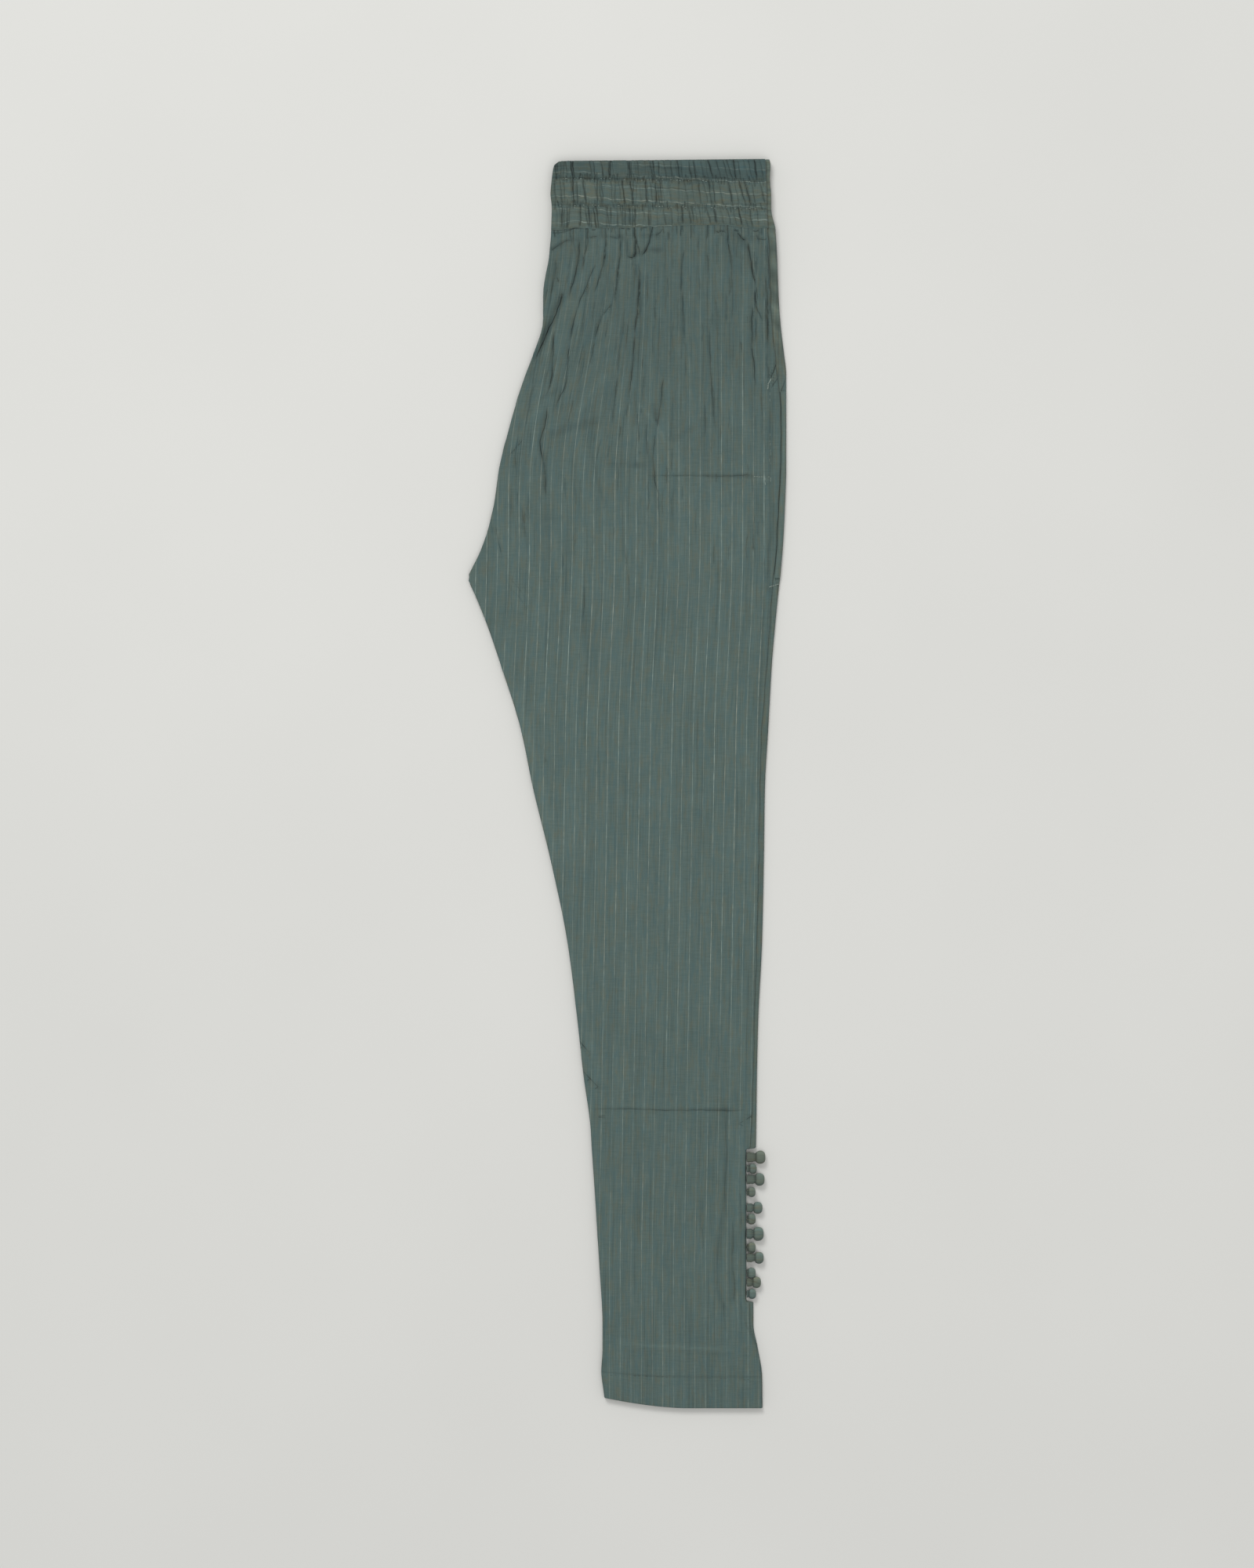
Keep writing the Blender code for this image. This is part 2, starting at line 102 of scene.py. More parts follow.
# Outline of the folded legs, a row for each place where it bends
OUTLINE_COLUMNS = ("drop", "left", "right_upper", "right_lower")
LEG_OUTLINE = (
    (54, -60, 111.5, 117.5),
    (73, -61.3, 112.7, 118.7),
    (107, -66.5, 113.5, 120),
    (126, -66.5, 114.8, 121.2),
    (155, -74.8, 117.3, 124.5),
    (168.5, -80, 118.7, 126),
    (183, -85, 121, 126),
    (215, -94.2, 122, 126),
    (245, -101.5, 121.5, 126),
    (270, -105, 120.2, 125.2),
    (289, -109.2, 119.2, 124.4),
    (309, -116, 118.2, 123.2),
    (322.5, -122.4, 117, 122),
    (331, -126, 116, 121.3),
    (339, -122.5, 115.4, 120.2),
    (366, -111.5, 113.3, 117.5),
    (401, -99.5, 111, 114.5),
    (450, -84.2, 107, 111.8),
    (496, -74.7, 105.5, 109.2),
    (555, -60.3, 104.5, 108.3),
    (619, -47.2, 103, 106.9),
    (680, -39.4, 101, 103.9),
    (723, -34.7, 100.3, 102.9),
    (766, -28.9, 98.5, 102.3),
    (781.8, -28, 97.4, 102),
    (783, -27.9, 94.5, 94.5),
    (902.6, -20.1, 94.5, 94.5),
    (904, -20, 96.5, 100),
    (921, -19.4, 97.5, 100),
    (940, -19.4, 103, 103.5),
    (963, -20.4, 106.5, 107),
    (987.5, -18, 107, 107.3),
)

# Outline of the waistband: its rolled top, and the edges and middles of its elastic channels
BAND_OUTLINE = (
    (0, -51.5, 109, 112.5),
    (1, -55, 109.3, 113),
    (4.5, -57.8, 109.7, 113.5),
    (16, -59.5, 110, 113),
    (28, -60.5, 110.5, 114),
    (38.5, -59.5, 110.5, 114),
    (54, -60, 111.5, 117.5),
)

# The hem's lower edge rises towards the inseam, at a power of the share of its way there
HEM_RISE = 8.8
HEM_RISE_POWER = 1.6
HEM_RISES_FROM_X = 46.0
HEM_INSEAM_X = -21.0

# The seam between the waistband and the legs, which sways a little
WAIST_SEAM_COLUMNS = ("x", "drop")
WAIST_SEAM = (
    (-59, 56.4),
    (-52.7, 56.4),
    (-41, 54.4),
    (-26, 54.9),
    (-3, 54.6),
    (25, 53.6),
    (52, 52.4),
    (79, 52.4),
    (101, 55.6),
    (110, 54.5),
)
SEAM_SWAY_OVER = 14.0
WAIST_SLANT = 1.6
WAIST_SLANT_OVER = 16.0
WAIST_EDGES = (-59.0, 110.0)

# How far the pin stripes lie to the right: above the fork, and what the thigh and the calf add
STRIPES_ABOVE_FORK = 5.2
THIGH_DRIFT = -5.6
THIGH_DROPS = (300.0, 470.0)
CALF_DRIFT = -7.1
CALF_ENDS_DROP = 866.0

# How far the gathers pull the stripes over towards the middle at the waist, near the rise
STRIPE_LEAN = 27.0
LEAN_ENDS_DROP = 271.0
LEAN_POWER = 1.1
LEAN_FULL_X = -40.0
LEAN_ENDS_X = 44.0
STRIPE_PHASE = -39.7

# Where the side seam or its topstitching runs on the upper leg
SEAM_COLUMNS = ("drop", "x")
SIDE_SEAM = (
    (54, 109),
    (120, 111),
    (176, 112),
    (190, 114),
    (300, 113.2),
    (325, 111.9),
    (338, 111.6),
    (345, 108),
    (400, 107.3),
    (435, 105.4),
    (460, 105.2),
)
SIDE_SEAM_ENDS_DROP = 455.0
SIDE_SEAM_DEPTH = 0.8
SIDE_SEAM_HALF_WIDTH = 0.9
SIDE_SEAM_FADES_OVER = 20.0
SIDE_SEAM_STARTS_DROP = 100.0
SIDE_SEAM_STARTS_OVER = 40.0

# Main creases of the left front panel, given in the photograph's pixels: a bent line, then
# the fold's half width and its depth in millimetres
PHOTO_MM = 0.62
PHOTO_ORIGIN = (800.0, 204.0)
CREASES = (
    (((731, 284), (732, 302), (733, 320), (735, 328)), 1.0, 1.0),
    (((740, 306), (738, 335), (734.7, 349), (729.6, 368), (724, 385)), 1.2, 1.5),
    (((750, 284), (750, 314.6), (746, 325), (744, 337), (742, 353)), 1.0, 1.3),
    (((761, 335), (755, 349), (745, 374), (740, 384), (734.7, 401), (728.6, 424), (726, 445)), 1.3, 1.3),
    (((773, 283), (773, 320), (770.4, 335), (765, 355), (759, 372), (757, 382)), 1.1, 1.4),
    (((792, 303), (792, 321), (790, 337), (787, 357), (786, 375), (780.6, 388)), 1.2, 1.5),
    (((783, 384), (773.5, 398), (768, 404), (763, 417), (758, 439)), 1.2, 1.2),
    (((808.5, 283), (810, 304), (815, 317.6), (815.5, 331)), 1.1, 2.2),
    (((810.7, 306), (811, 320), (810, 329), (805, 330.4), (798.5, 327)), 1.2, 2.2),
    (((834, 284), (829.6, 306), (824.5, 320.7), (817.5, 330)), 1.1, 2.2),
    (((814, 334), (815.8, 351), (815.3, 376), (812.8, 401), (810.7, 417), (809.7, 436)), 1.2, 1.5),
    (((810, 425), (809, 446), (806.5, 477), (803.5, 497), (801, 513.6)), 1.3, 1.1),
    (((719, 371), (716, 383), (710, 400), (705, 410.5), (700, 420), (692, 439), (680, 465)), 2.6, 2.6),
    (((776, 406), (773.5, 424), (771.4, 434)), 1.4, 0.8),
    (((702, 322), (715, 312.5), (723.5, 308), (731.6, 307)), 1.5, 1.0),
    (((751, 304), (757, 303), (763, 303)), 1.4, 0.8),
    (((777.5, 303), (784, 304.5), (790, 305.4)), 1.4, 0.8),
    (((836, 302), (842, 300), (846, 293)), 1.4, 1.3),
    (((979, 310), (981, 348), (980.6, 381)), 1.1, 1.2),
    (((711, 356), (713, 362)), 1.2, 1.0),
    (((873, 318.5), (870.5, 334), (869, 347), (869, 362.5), (870, 381.7)), 1.1, 0.9),
    (((870, 372), (871.5, 396), (872.4, 410), (873, 436)), 1.1, 0.9),
    (((927.6, 284), (928.4, 310), (930.8, 324), (932.7, 338.6), (935, 351)), 1.6, 1.1),
    (((934, 353), (934.6, 386), (934, 414)), 1.2, 0.5),
    (((954, 309), (956.6, 326), (959, 343.4), (962.4, 358.7), (964.3, 369)), 1.2, 1.7),
    (((963, 370), (963.3, 386.5), (965.3, 394), (970, 402.7), (973.4, 412)), 1.1, 1.5),
    (((964.3, 366), (965.7, 375), (966, 385)), 0.8, 1.0),
    (((965, 328), (966, 340), (966, 352)), 0.9, 0.6),
    (((961, 391), (958.6, 405.6), (960, 422), (959.5, 436), (958, 445)), 1.1, 1.3),
    (((958, 438), (962, 460), (962.6, 479), (964.7, 496)), 1.2, 1.3),
    (((963.8, 405.6), (964.8, 422), (965, 436)), 1.0, 0.8),
    (((976.7, 379.8), (978.7, 399), (979.6, 415), (980, 445)), 1.1, 1.1),
    (((945, 436), (946, 444), (947, 452)), 0.9, 0.8),
    (((992, 456), (991, 464), (986, 477), (981, 488)), 1.0, 1.7),
    (((993, 482), (987, 490), (983.5, 496)), 0.9, 1.0),
    (((976, 352), (979, 382), (981, 414)), 1.0, 1.2),
    (((905, 415), (906, 455), (908, 500), (913, 555)), 1.0, 0.9),
    (((934.5, 412), (935, 450), (934, 500)), 0.9, 0.5),
    (((971, 500), (973, 530), (972, 560)), 0.9, 0.6),
    (((912.6, 297.5), (915.5, 300), (921, 298), (927, 300.8)), 1.0, 1.2),
    (((940, 298), (946, 306), (952, 307.5)), 1.1, 1.5),
    (((967, 306), (974.8, 307.5), (978.5, 305)), 1.1, 1.2),
    (((965.3, 299), (966, 304), (967.7, 309)), 0.9, 0.9),
    (((706.7, 420), (705.5, 456), (704, 480), (701, 497), (696, 505), (690, 507)), 1.2, 1.4),
    (((727, 436), (724, 464.6), (723, 487), (718, 501), (711.6, 511.5), (706, 528)), 1.4, 1.2),
    (((698, 518), (697, 536), (695, 546), (690, 556), (688.7, 566), (690.7, 579), (694, 598)), 1.8, 1.5),
    (((693, 586), (695, 600), (696, 615), (696, 636)), 1.5, 1.0),
    (((745, 439), (741, 454), (738, 470)), 1.2, 0.6),
    (((759, 436), (755.5, 452), (751.4, 469)), 1.2, 0.9),
    (((788, 479), (785.6, 499), (782, 526), (780.5, 544)), 1.5, 0.9),
    (((813.7, 526), (814.7, 548), (815.7, 569)), 1.4, 0.9),
    (((827, 537), (825, 546), (825, 563.6), (827, 589)), 1.2, 0.9),
    (((848, 480), (844.5, 493), (843, 517), (839, 539), (836, 558)), 1.4, 1.1),
    (((838, 545), (835, 563.6), (833, 579), (833.8, 590), (835, 614), (840.5, 630), (841, 665)), 1.4, 1.1),
    (((792, 543), (791, 553), (789.7, 563.6)), 1.1, 0.7),
    (((766.7, 559.5), (763.7, 571.7), (761.6, 589)), 1.2, 0.8),
    (((778, 567.6), (776.5, 577), (775.4, 587)), 1.1, 0.6),
    (((667.7, 560), (658, 572), (647.6, 584)), 1.4, 0.8),
    (((661, 627), (660.5, 636), (660, 646)), 1.2, 0.6),
    (((666, 648), (667.5, 659), (669, 670)), 1.2, 0.7),
    (((632, 671), (636, 690), (640, 710)), 1.4, 0.9),
    (((736, 627), (735.4, 636), (734.7, 646)), 1.2, 0.5),
    (((692, 962), (698, 967), (696, 972)), 1.2, 0.9),
    (((738, 1326), (746, 1337), (754, 1345)), 1.2, 1.7),
    (((742, 1364), (754, 1378), (766, 1389)), 1.2, 1.8),
    (((928, 1412), (925, 1440), (928, 1475), (924, 1515), (926, 1560)), 2.4, 0.5),
    (((921, 1540), (916, 1600), (912, 1639)), 1.8, 0.4),
    (((934, 1556), (936, 1582), (934, 1606)), 1.4, 0.8),
    (((935, 1618), (938, 1640), (936, 1664)), 1.3, 0.7),
    (((896, 1566), (897, 1580), (897, 1596)), 1.1, 0.7),
    (((944, 1520), (946, 1545), (945, 1570)), 1.0, 0.6),
    (((941, 1434), (953, 1428), (965, 1420)), 1.2, 1.1),
    (((923, 1660), (924, 1680), (925, 1700)), 2.0, 0.6),
)

# Painted shadows of shallow dents that have no relief of their own, painted light where the amount is below
# 0, and small dark specks, in the same pixels: the middle, how far across and down, how dark
DENTS = (
    ((813, 594), (5, 4), 0.14),
    ((816, 578), (2, 2), 0.2),
    ((836, 530), (4, 6), 0.12),
    ((822, 1500), (6, 7), -0.05),
    ((837, 1367), (3, 14), -0.05),
    ((937, 1492), (6, 10), -0.06),
    ((940, 1516), (5, 8), -0.06),
    ((900, 1437), (20, 10), 0.05),
    ((778, 1760), (9, 8), -0.07),
    ((945, 1766), (5, 8), -0.08),
    ((769, 1744), (6, 6), 0.07),
    ((730, 1040), (18, 70), -0.03),
    ((735, 803), (45, 7), 0.035),
    ((815, 760), (12, 6), 0.05),
    ((848, 777), (14, 6), 0.05),
    ((712, 352), (9, 20), 0.08),
    ((722, 400), (16, 30), 0.06),
    ((829, 302), (17, 3), 0.16),
    ((838, 321), (8, 4), 0.1),
    ((778, 330), (18, 6), 0.06),
    ((950, 306), (14, 4), 0.12),
    ((961, 700), (1.5, 1.5), 0.3),
    ((971, 805), (1.5, 1.5), 0.3),
    ((925, 722), (1.5, 1.5), 0.3),
    ((837, 537), (1.5, 1.5), 0.3),
    ((967, 914), (1.5, 1.5), 0.25),
    ((968.5, 1105), (1.5, 1.5), 0.3),
)

# Painted shade and painted light along broad shallow folds and a few other lines, none with relief of
# its own, in the same pixels: a bent line, its half width and how dark it is, or how light below 0
SOFT_FOLD_SHADES = (
    (((790, 345), (788, 365), (783, 390)), 2.5, 0.09),
    (((738, 325), (735, 350), (728, 372), (722, 390)), 3, 0.07),
    (((716, 365), (706, 405), (690, 440), (680, 465)), 5, 0.12),
    (((705, 420), (706, 460), (702, 500)), 3, 0.06),
    (((735, 400), (722, 450), (718, 500), (703, 530)), 3, 0.05),
    (((688, 509), (700, 504), (718, 493)), 3, 0.1),
    (((696, 520), (691, 550), (692, 585), (696, 615), (688, 632)), 4, 0.15),
    (((698, 557), (725, 546), (750, 540), (772, 538)), 5, 0.14),
    (((755, 572), (759, 600), (765, 625), (775, 650)), 3, 0.1),
    (((716, 610), (718, 650), (717, 690), (722, 740), (740, 795)), 3.5, 0.06),
    (((661, 640), (668, 670), (676, 705)), 3, 0.08),
    (((655, 622), (653, 658)), 3, 0.09),
    (((690, 662), (705, 660), (714, 664)), 3, 0.06),
    (((768, 592), (795, 592), (815, 594), (832, 594)), 3.5, 0.12),
    (((832, 512), (837, 530), (836, 544)), 3.5, 0.12),
    (((826, 555), (828, 590), (832, 620), (842, 660), (844, 715)), 3.5, 0.07),
    (((848, 556), (862, 560), (872, 552), (890, 543)), 4, 0.07),
    (((826, 608), (870, 606), (930, 608), (990, 607)), 2.5, 0.07),
    (((900, 608), (935, 608), (968, 607)), 3.5, 0.09),
    (((903, 410), (906, 460), (909, 510), (914, 562)), 2, 0.09),
    (((868, 298), (869, 360), (871, 430), (866, 480), (858, 525)), 3, 0.05),
    (((928, 297), (945, 303), (955, 325), (961, 355)), 3.5, 0.14),
    (((960, 340), (962, 390), (959, 430), (962, 480), (961, 540), (960, 608)), 4, 0.09),
    (((978, 380), (981, 420), (983, 460)), 3, 0.06),
    (((986, 498), (984, 560), (986, 602)), 3, 0.05),
    (((988, 640), (982, 700), (976, 750)), 5, 0.07),
    (((970, 740), (967, 850), (964, 960)), 4, 0.06),
    (((698, 323), (716, 312), (730, 307), (746, 306)), 3.5, 0.13),
    (((743, 303), (775, 303), (802, 304)), 3, 0.1),
    (((788, 298), (799, 312), (803, 328)), 3.5, 0.14),
    (((798, 331), (812, 326), (824, 320), (848, 320)), 3.5, 0.15),
    (((812, 330), (815, 370), (811, 430), (804, 480), (799, 512)), 2.5, 0.07),
    (((926, 1395), (927, 1450), (926, 1510), (924, 1565)), 3.5, 0.14),
    (((925, 1540), (918, 1580), (912, 1640), (934, 1688)), 3.5, 0.1),
    (((934, 1570), (935, 1620), (936, 1665)), 3, 0.13),
    (((895, 1530), (896, 1575)), 3, 0.06),
    (((757, 1416), (850, 1417), (930, 1416), (968, 1417)), 3, 0.07),
    (((896, 1416), (915, 1416), (936, 1415)), 3, 0.12),
    (((932, 1434), (948, 1426), (968, 1419)), 3, 0.09),
    (((740, 1332), (747, 1341), (756, 1346)), 2.5, 0.08),
    (((746, 1370), (755, 1381), (768, 1390)), 2.5, 0.09),
    (((955, 1690), (960, 1702), (965, 1715)), 3, 0.1),
    (((962, 1210), (961, 1300), (960, 1400)), 3, 0.07),
    (((722, 330), (716, 350), (704, 385), (692, 420)), 5, -0.06),
    (((737, 385), (738, 412), (730, 445)), 6, -0.06),
    (((778, 474), (757, 495), (742, 520), (726, 534)), 5, -0.08),
    (((692, 512), (670, 545), (645, 578)), 5, -0.08),
    (((706, 506), (701, 530), (702, 552)), 4, -0.07),
    (((740, 550), (742, 590), (746, 645)), 5, -0.06),
    (((811, 512), (826, 528), (840, 545), (850, 567)), 2.5, -0.1),
    (((948, 335), (950, 420), (948, 500), (948, 575)), 5, -0.06),
    (((933, 450), (932, 500), (934, 550)), 5, -0.07),
    (((905, 630), (918, 680), (934, 730)), 6, -0.07),
    (((864, 555), (870, 600), (872, 645)), 5, -0.05),
    (((652, 860), (672, 940), (690, 1000), (712, 1112)), 9, -0.1),
    (((744, 1235), (746, 1270), (748, 1305)), 4, -0.07),
    (((752, 1320), (760, 1360), (766, 1410)), 6, -0.04),
    (((776, 1490), (780, 1600), (784, 1700)), 8, -0.04),
    (((924, 1580), (923, 1640)), 2.5, -0.06),
    (((946, 1230), (948, 1300), (950, 1390)), 3, -0.05),
    (((900, 757), (935, 758), (975, 760)), 1.5, -0.06),
    (((785, 1022), (850, 1021), (905, 1022)), 1.5, -0.05),
    (((712, 1112), (800, 1114), (870, 1110), (940, 1113)), 1.5, -0.05),
    (((774, 1716), (800, 1714), (850, 1718), (900, 1720), (945, 1723)), 1.6, -0.14),
    (((774, 1720), (850, 1723), (945, 1728)), 1.6, 0.05),
    (((958, 612), (970, 612), (986, 612)), 1.6, -0.08),
    (((964, 618), (975, 618.4), (983, 618)), 0.9, 0.14),
    (((961, 606), (961, 622), (961.8, 638)), 1.1, 0.1),
    (((976, 607), (976, 620)), 1.0, -0.12),
    (((982, 604), (982.5, 618)), 1.0, 0.12),
    (((984, 500), (984.7, 535), (984.3, 582)), 1.0, -0.1),
    (((983, 580), (982.4, 606)), 1.0, 0.12),
    (((975, 550), (975, 604), (976, 670), (977, 735)), 1.1, -0.1),
    (((981.5, 685), (980.5, 715), (980, 742)), 1.1, 0.12),
    (((978, 750), (983, 751), (988, 749)), 2.0, 0.14),
    (((983, 745), (983, 780), (982, 815)), 1.1, 0.14),
    (((951.5, 1460), (951, 1560), (951, 1670)), 1.6, 0.12),
    (((948, 1466), (947.5, 1560), (947, 1660)), 1.1, -0.07),
    (((941, 1490), (940, 1560), (938, 1620), (941, 1680), (950, 1725)), 1.2, -0.09),
    (((944, 1660), (952, 1690), (962, 1712)), 1.6, 0.1),
)
SOFT_FOLD_FADES = 0.15
SOFT_FOLD_REACH = 3.0

# Tucks in the seam below the waistband, placed in the same way
SEAM_TUCKS = (
    (((703, 296), (716, 295), (730, 292.5), (742, 291.5)), 1.0, 1.3),
    (((747, 292.6), (749, 293), (751.5, 293)), 1.3, 1.8),
    (((755, 293.5), (758, 293.3), (761, 293)), 1.2, 1.5),
    (((792, 292), (795, 292), (797.5, 292.3)), 1.2, 1.6),
    (((800, 292), (802, 292.8), (804.5, 293)), 1.3, 1.8),
    (((818, 292), (822, 292), (826, 291.5)), 1.2, 1.6),
    (((960, 293.7), (964.3, 294.6), (969, 293.7)), 1.2, 1.6),
    (((936, 296.5), (940, 297), (943.5, 297)), 1.1, 1.5),
)

# Creases that packing pressed across the leg
PRESSED_CREASES = (
    (((824, 607), (870, 607), (912, 607)), 1.1, 0.6),
    (((890, 607), (912, 608), (930, 607.5), (950, 606), (968, 607.5)), 1.2, 0.8),
    (((750, 1415), (809, 1414.5), (850, 1417), (905, 1416), (930, 1417.5), (968, 1415)), 1.0, 0.8),
    (((763, 1424), (768, 1424), (773, 1424)), 1.0, 0.9),
)
CREASE_STEP = 2.5
MEANDER = 0.16
MEANDER_WAVES = ((2.9, 7.0), (1.3, 3.0))

# Puff and puckers below the waistband, and the painted shade for each millimetre of a groove's depth, which
# is also the painted light for each millimetre of a shoulder's height
FLAT_RELIEF = 0.35
RELIEF_SHADE = 0.1
PUFF = 2.4
PUFF_FADES_OVER = 110.0
PUCKER_SEED = 11
PUCKER_STEPS = (1.6, 6.5)
PUCKER_LENGTHS = (3.0, 16.0)
PUCKER_DEPTHS = (0.3, 1.2)
PUCKER_HALF_WIDTHS = (0.8, 1.3)
PUCKER_SHORTENING = (0.4, 1.0)
PUCKER_SHARE_ABOVE = 0.3
PUCKER_OVERLAPS = (2.0, 1.0)
PUCKER_BOW = 1.0
SEAM_TOP = 12.4
SEAM_TUCK_OVER = 1.3

# The seam's painted shadow line, darker where the waistband hangs over it
SEAM_OVERHUNG_TO_X = -30.0
SEAM_OVERHUNG_OVER = 10.0
SEAM_SHADES = (0.05, 0.27)
SEAM_SHADE_DROP = 54.3
SEAM_SHADE_HALF_WIDTH = 0.7

# Depth and painted shadow of every crease, and the thinnest that one leaves the cloth
THINNEST = 0.25
GROOVE_SHARE = 0.9
GROOVE_DEPTH_SHARE = 0.65
SHOULDERS = (0.75, 0.3)
SHOULDER_REACH = 3.6
CREASE_REACH = 9.0
CREASE_UNEVEN = 0.18
CREASE_UNEVEN_OVER = 4.3
CREASE_FADES = (0.14, 0.24)
# How dark a crease's painted shadow line is for each millimetre of its depth, how far it reaches, and the
# share of that reach where it is fully dark
FOLD_SHADOW_PER_MM = 0.75
FOLD_SHADOW_REACH = 2.2
FOLD_SHADOW_FULL_SHARE = 0.6

# Fine wrinkles that follow the grain of the upper leg
WRINKLE_SEED = 17
WRINKLE_COUNT = 330
WRINKLE_DROPS = (57.0, 340.0)
WRINKLE_LENGTHS = (6.0, 34.0)
WRINKLE_DEPTHS = (0.12, 0.75)
WRINKLE_HALF_WIDTHS = (0.8, 1.4)
WRINKLES_THIN_OUT = 1.6
WRINKLE_BOW = 0.06
LEG_SPREAD = (-120.0, 112.0)

# Stripes of the leg: strong on the thigh, and fainter towards the hem and towards the waist, each as
# how much fainter, from which drop and over how far
STRIPE_STEP = 8.43
STRIPE_STRENGTH = 0.95
STRIPES_FAINTER_BELOW = (0.35, 560.0, 240.0)
STRIPES_FAINTER_ABOVE = (0.55, 271.0, 170.0)

# Slow waves of cloth that lies loose, and fine ripples along its grain
WAVE_SEED = 5
WAVE_COUNT = 9
WAVE_LENGTHS = (16.0, 70.0)
WAVE_SWING = 0.35
WAVE_HEIGHT_LEG = 0.05
WAVE_HEIGHT_TOP = 0.42
WAVES_GROW_OVER = 160.0
RIPPLE_SEED = 6
RIPPLE_LENGTHS = (3.0, 13.0)
RIPPLE_SWING = 0.06
RIPPLE_HEIGHT_LEG = 0.012
RIPPLE_HEIGHT_TOP = 0.09

# Painted shade over the leg's cloth, from the waist down: how much darker it is drawn where less light
# falls, most at the waist, least about the knee and a little more towards the hem
LEG_PAINTED_SHADE_COLUMNS = ("drop", "shade")
LEG_PAINTED_SHADE = (
    (54, 0.15),
    (150, 0.13),
    (220, 0.09),
    (310, 0.045),
    (430, 0.02),
    (560, 0.02),
    (650, 0.03),
    (760, 0.04),
    (988, 0.045),
)
LEG_COOLNESS = 0.1

# Hem
HEM_EXTRA = 0.4
HEM_STEP = 2.0
HEM_RIDGE = 0.3
HEM_RIDGE_HALF_WIDTH = 1.2
HEM_GROOVE_DEPTH = 0.5
HEM_GROOVE_HALF_WIDTH = 0.8

# Waistband: three elastic channels between two rows of stitches
BAND_SEED = 23
BAND_CHANNELS = ((0.0, 16.5), (16.5, 37.5), (37.5, 54.0))
BAND_CROWN = 1.1
BAND_CROWN_FULLNESS = 0.7
BAND_STITCH_DEPTH = 0.45
BAND_STITCH_HALF_WIDTH = 0.7

# Its gathers, listed as places across the waist in each channel: the shallow ones, and the deep ones
BAND_GATHERS = (
    (
        (-56.1, -54.6, -52.1, -50.2, -47.7, -28.7, -25.7, -19.8, -14, -11.2, 0.6, 3.6, 6.6)
        + (8.5, 13.9, 16.4, 19.2, 25.2, 30.1, 35.2, 38.8, 40.9, 43.4, 50.2, 54.6, 59.2)
        + (63.2, 72.5, 78, 81.1, 88.4, 93.6, 97, 106),
        (-43.4, -41.9, -13, 1.7, 21.3, 53.3, 65.8, 84.8, 101.5),
    ),
    (
        (-56.6, -52.2, -49.8, -43.4, -39, -32.6, -24.3, -20.8, -19.8, -12, -9.1, -5.7, 4.6)
        + (7.1, 10.5, 16.4, 19.2, 24.7, 26.7, 28.5, 34, 41.2, 46.7, 52, 57.5, 62)
        + (69, 74, 86.5, 100, 107),
        (-42.4, -33.6, -23.3, -2.9, 3.6, 15.4, 23.2, 66, 81.6, 91.1, 95.5),
    ),
    (
        (-55.4, -53.2, -49.3, -45.9, -38.4, -31.6, -28.2, -21.8, -15.9, -12.5, -7.6, -4.2, -1.2)
        + (0.6, 4.6, 13.9, 17.4, 18.8, 24, 29.8, 35.5, 40.3, 49.3, 51.9, 54.6, 57.7)
        + (60.1, 64.5, 75, 84.8, 93.6, 102.9),
        (-51.2, -47.3, -37, -30.2, -25.3, -23.3, -15, -3.2, 2.2, 6.6, 44, 69.5, 80, 89.5, 98),
    ),
)
BAND_GATHER_DEPTHS = (0.4, 1.15)
BAND_DEEP_GATHER = 1.6
BAND_DEEP_VARIES = (0.8, 1.2)
BAND_GATHER_HALF_WIDTHS = (0.7, 1.1)
BAND_GATHER_OVERRUN = (0.0, 3.0)
BAND_GATHER_BOW = (-0.6, 0.6)

# How far the gathers lean to the right for each millimetre down, from the inseam to the side seam
BAND_LEAN_COLUMNS = ("x", "lean")
BAND_LEAN = ((-59, 0.06), (-30, 0.08), (0, 0.04), (35, 0.06), (60, 0.14), (80, 0.24), (110, 0.2))
BAND_LEAN_VARIES = (-0.1, 0.1)
BAND_CRINKLE_STEPS = (0.8, 2.6)
BAND_CRINKLE_REACH = (1.2, 5.5)
BAND_CRINKLE_DEPTHS = (0.21, 1.19)
BAND_CRINKLE_HALF_WIDTH = 0.7
BAND_CRINKLE_SWING = (-0.4, 0.9)

# Where the waistband's first stripe runs across it; the others follow below at an even step
BAND_STRIPE_STEP = 9.75
BAND_STRIPE_COLUMNS = ("x", "drop")
BAND_STRIPE = (
    (-59, 1.2),
    (-42, 0.4),
    (-25, 1.8),
    (-11, 3.2),
    (0, 3.8),
    (31, 5.2),
    (62, 7.1),
    (89, 8.8),
    (108, 9.4),
)

# How its gathers tug those stripes: a height, and how slowly it turns across and down
BAND_TUGS = ((0.3, 2.9, 15.0), (0.22, 1.3, 4.0))
BAND_CLOTH_PER_MM = 1.4
BAND_CLOTH_START = 300.0
BAND_EDGE_SCALLOP = 0.7
BAND_EDGE_REACH = 5.0
BAND_EDGE_DROP = 2.0

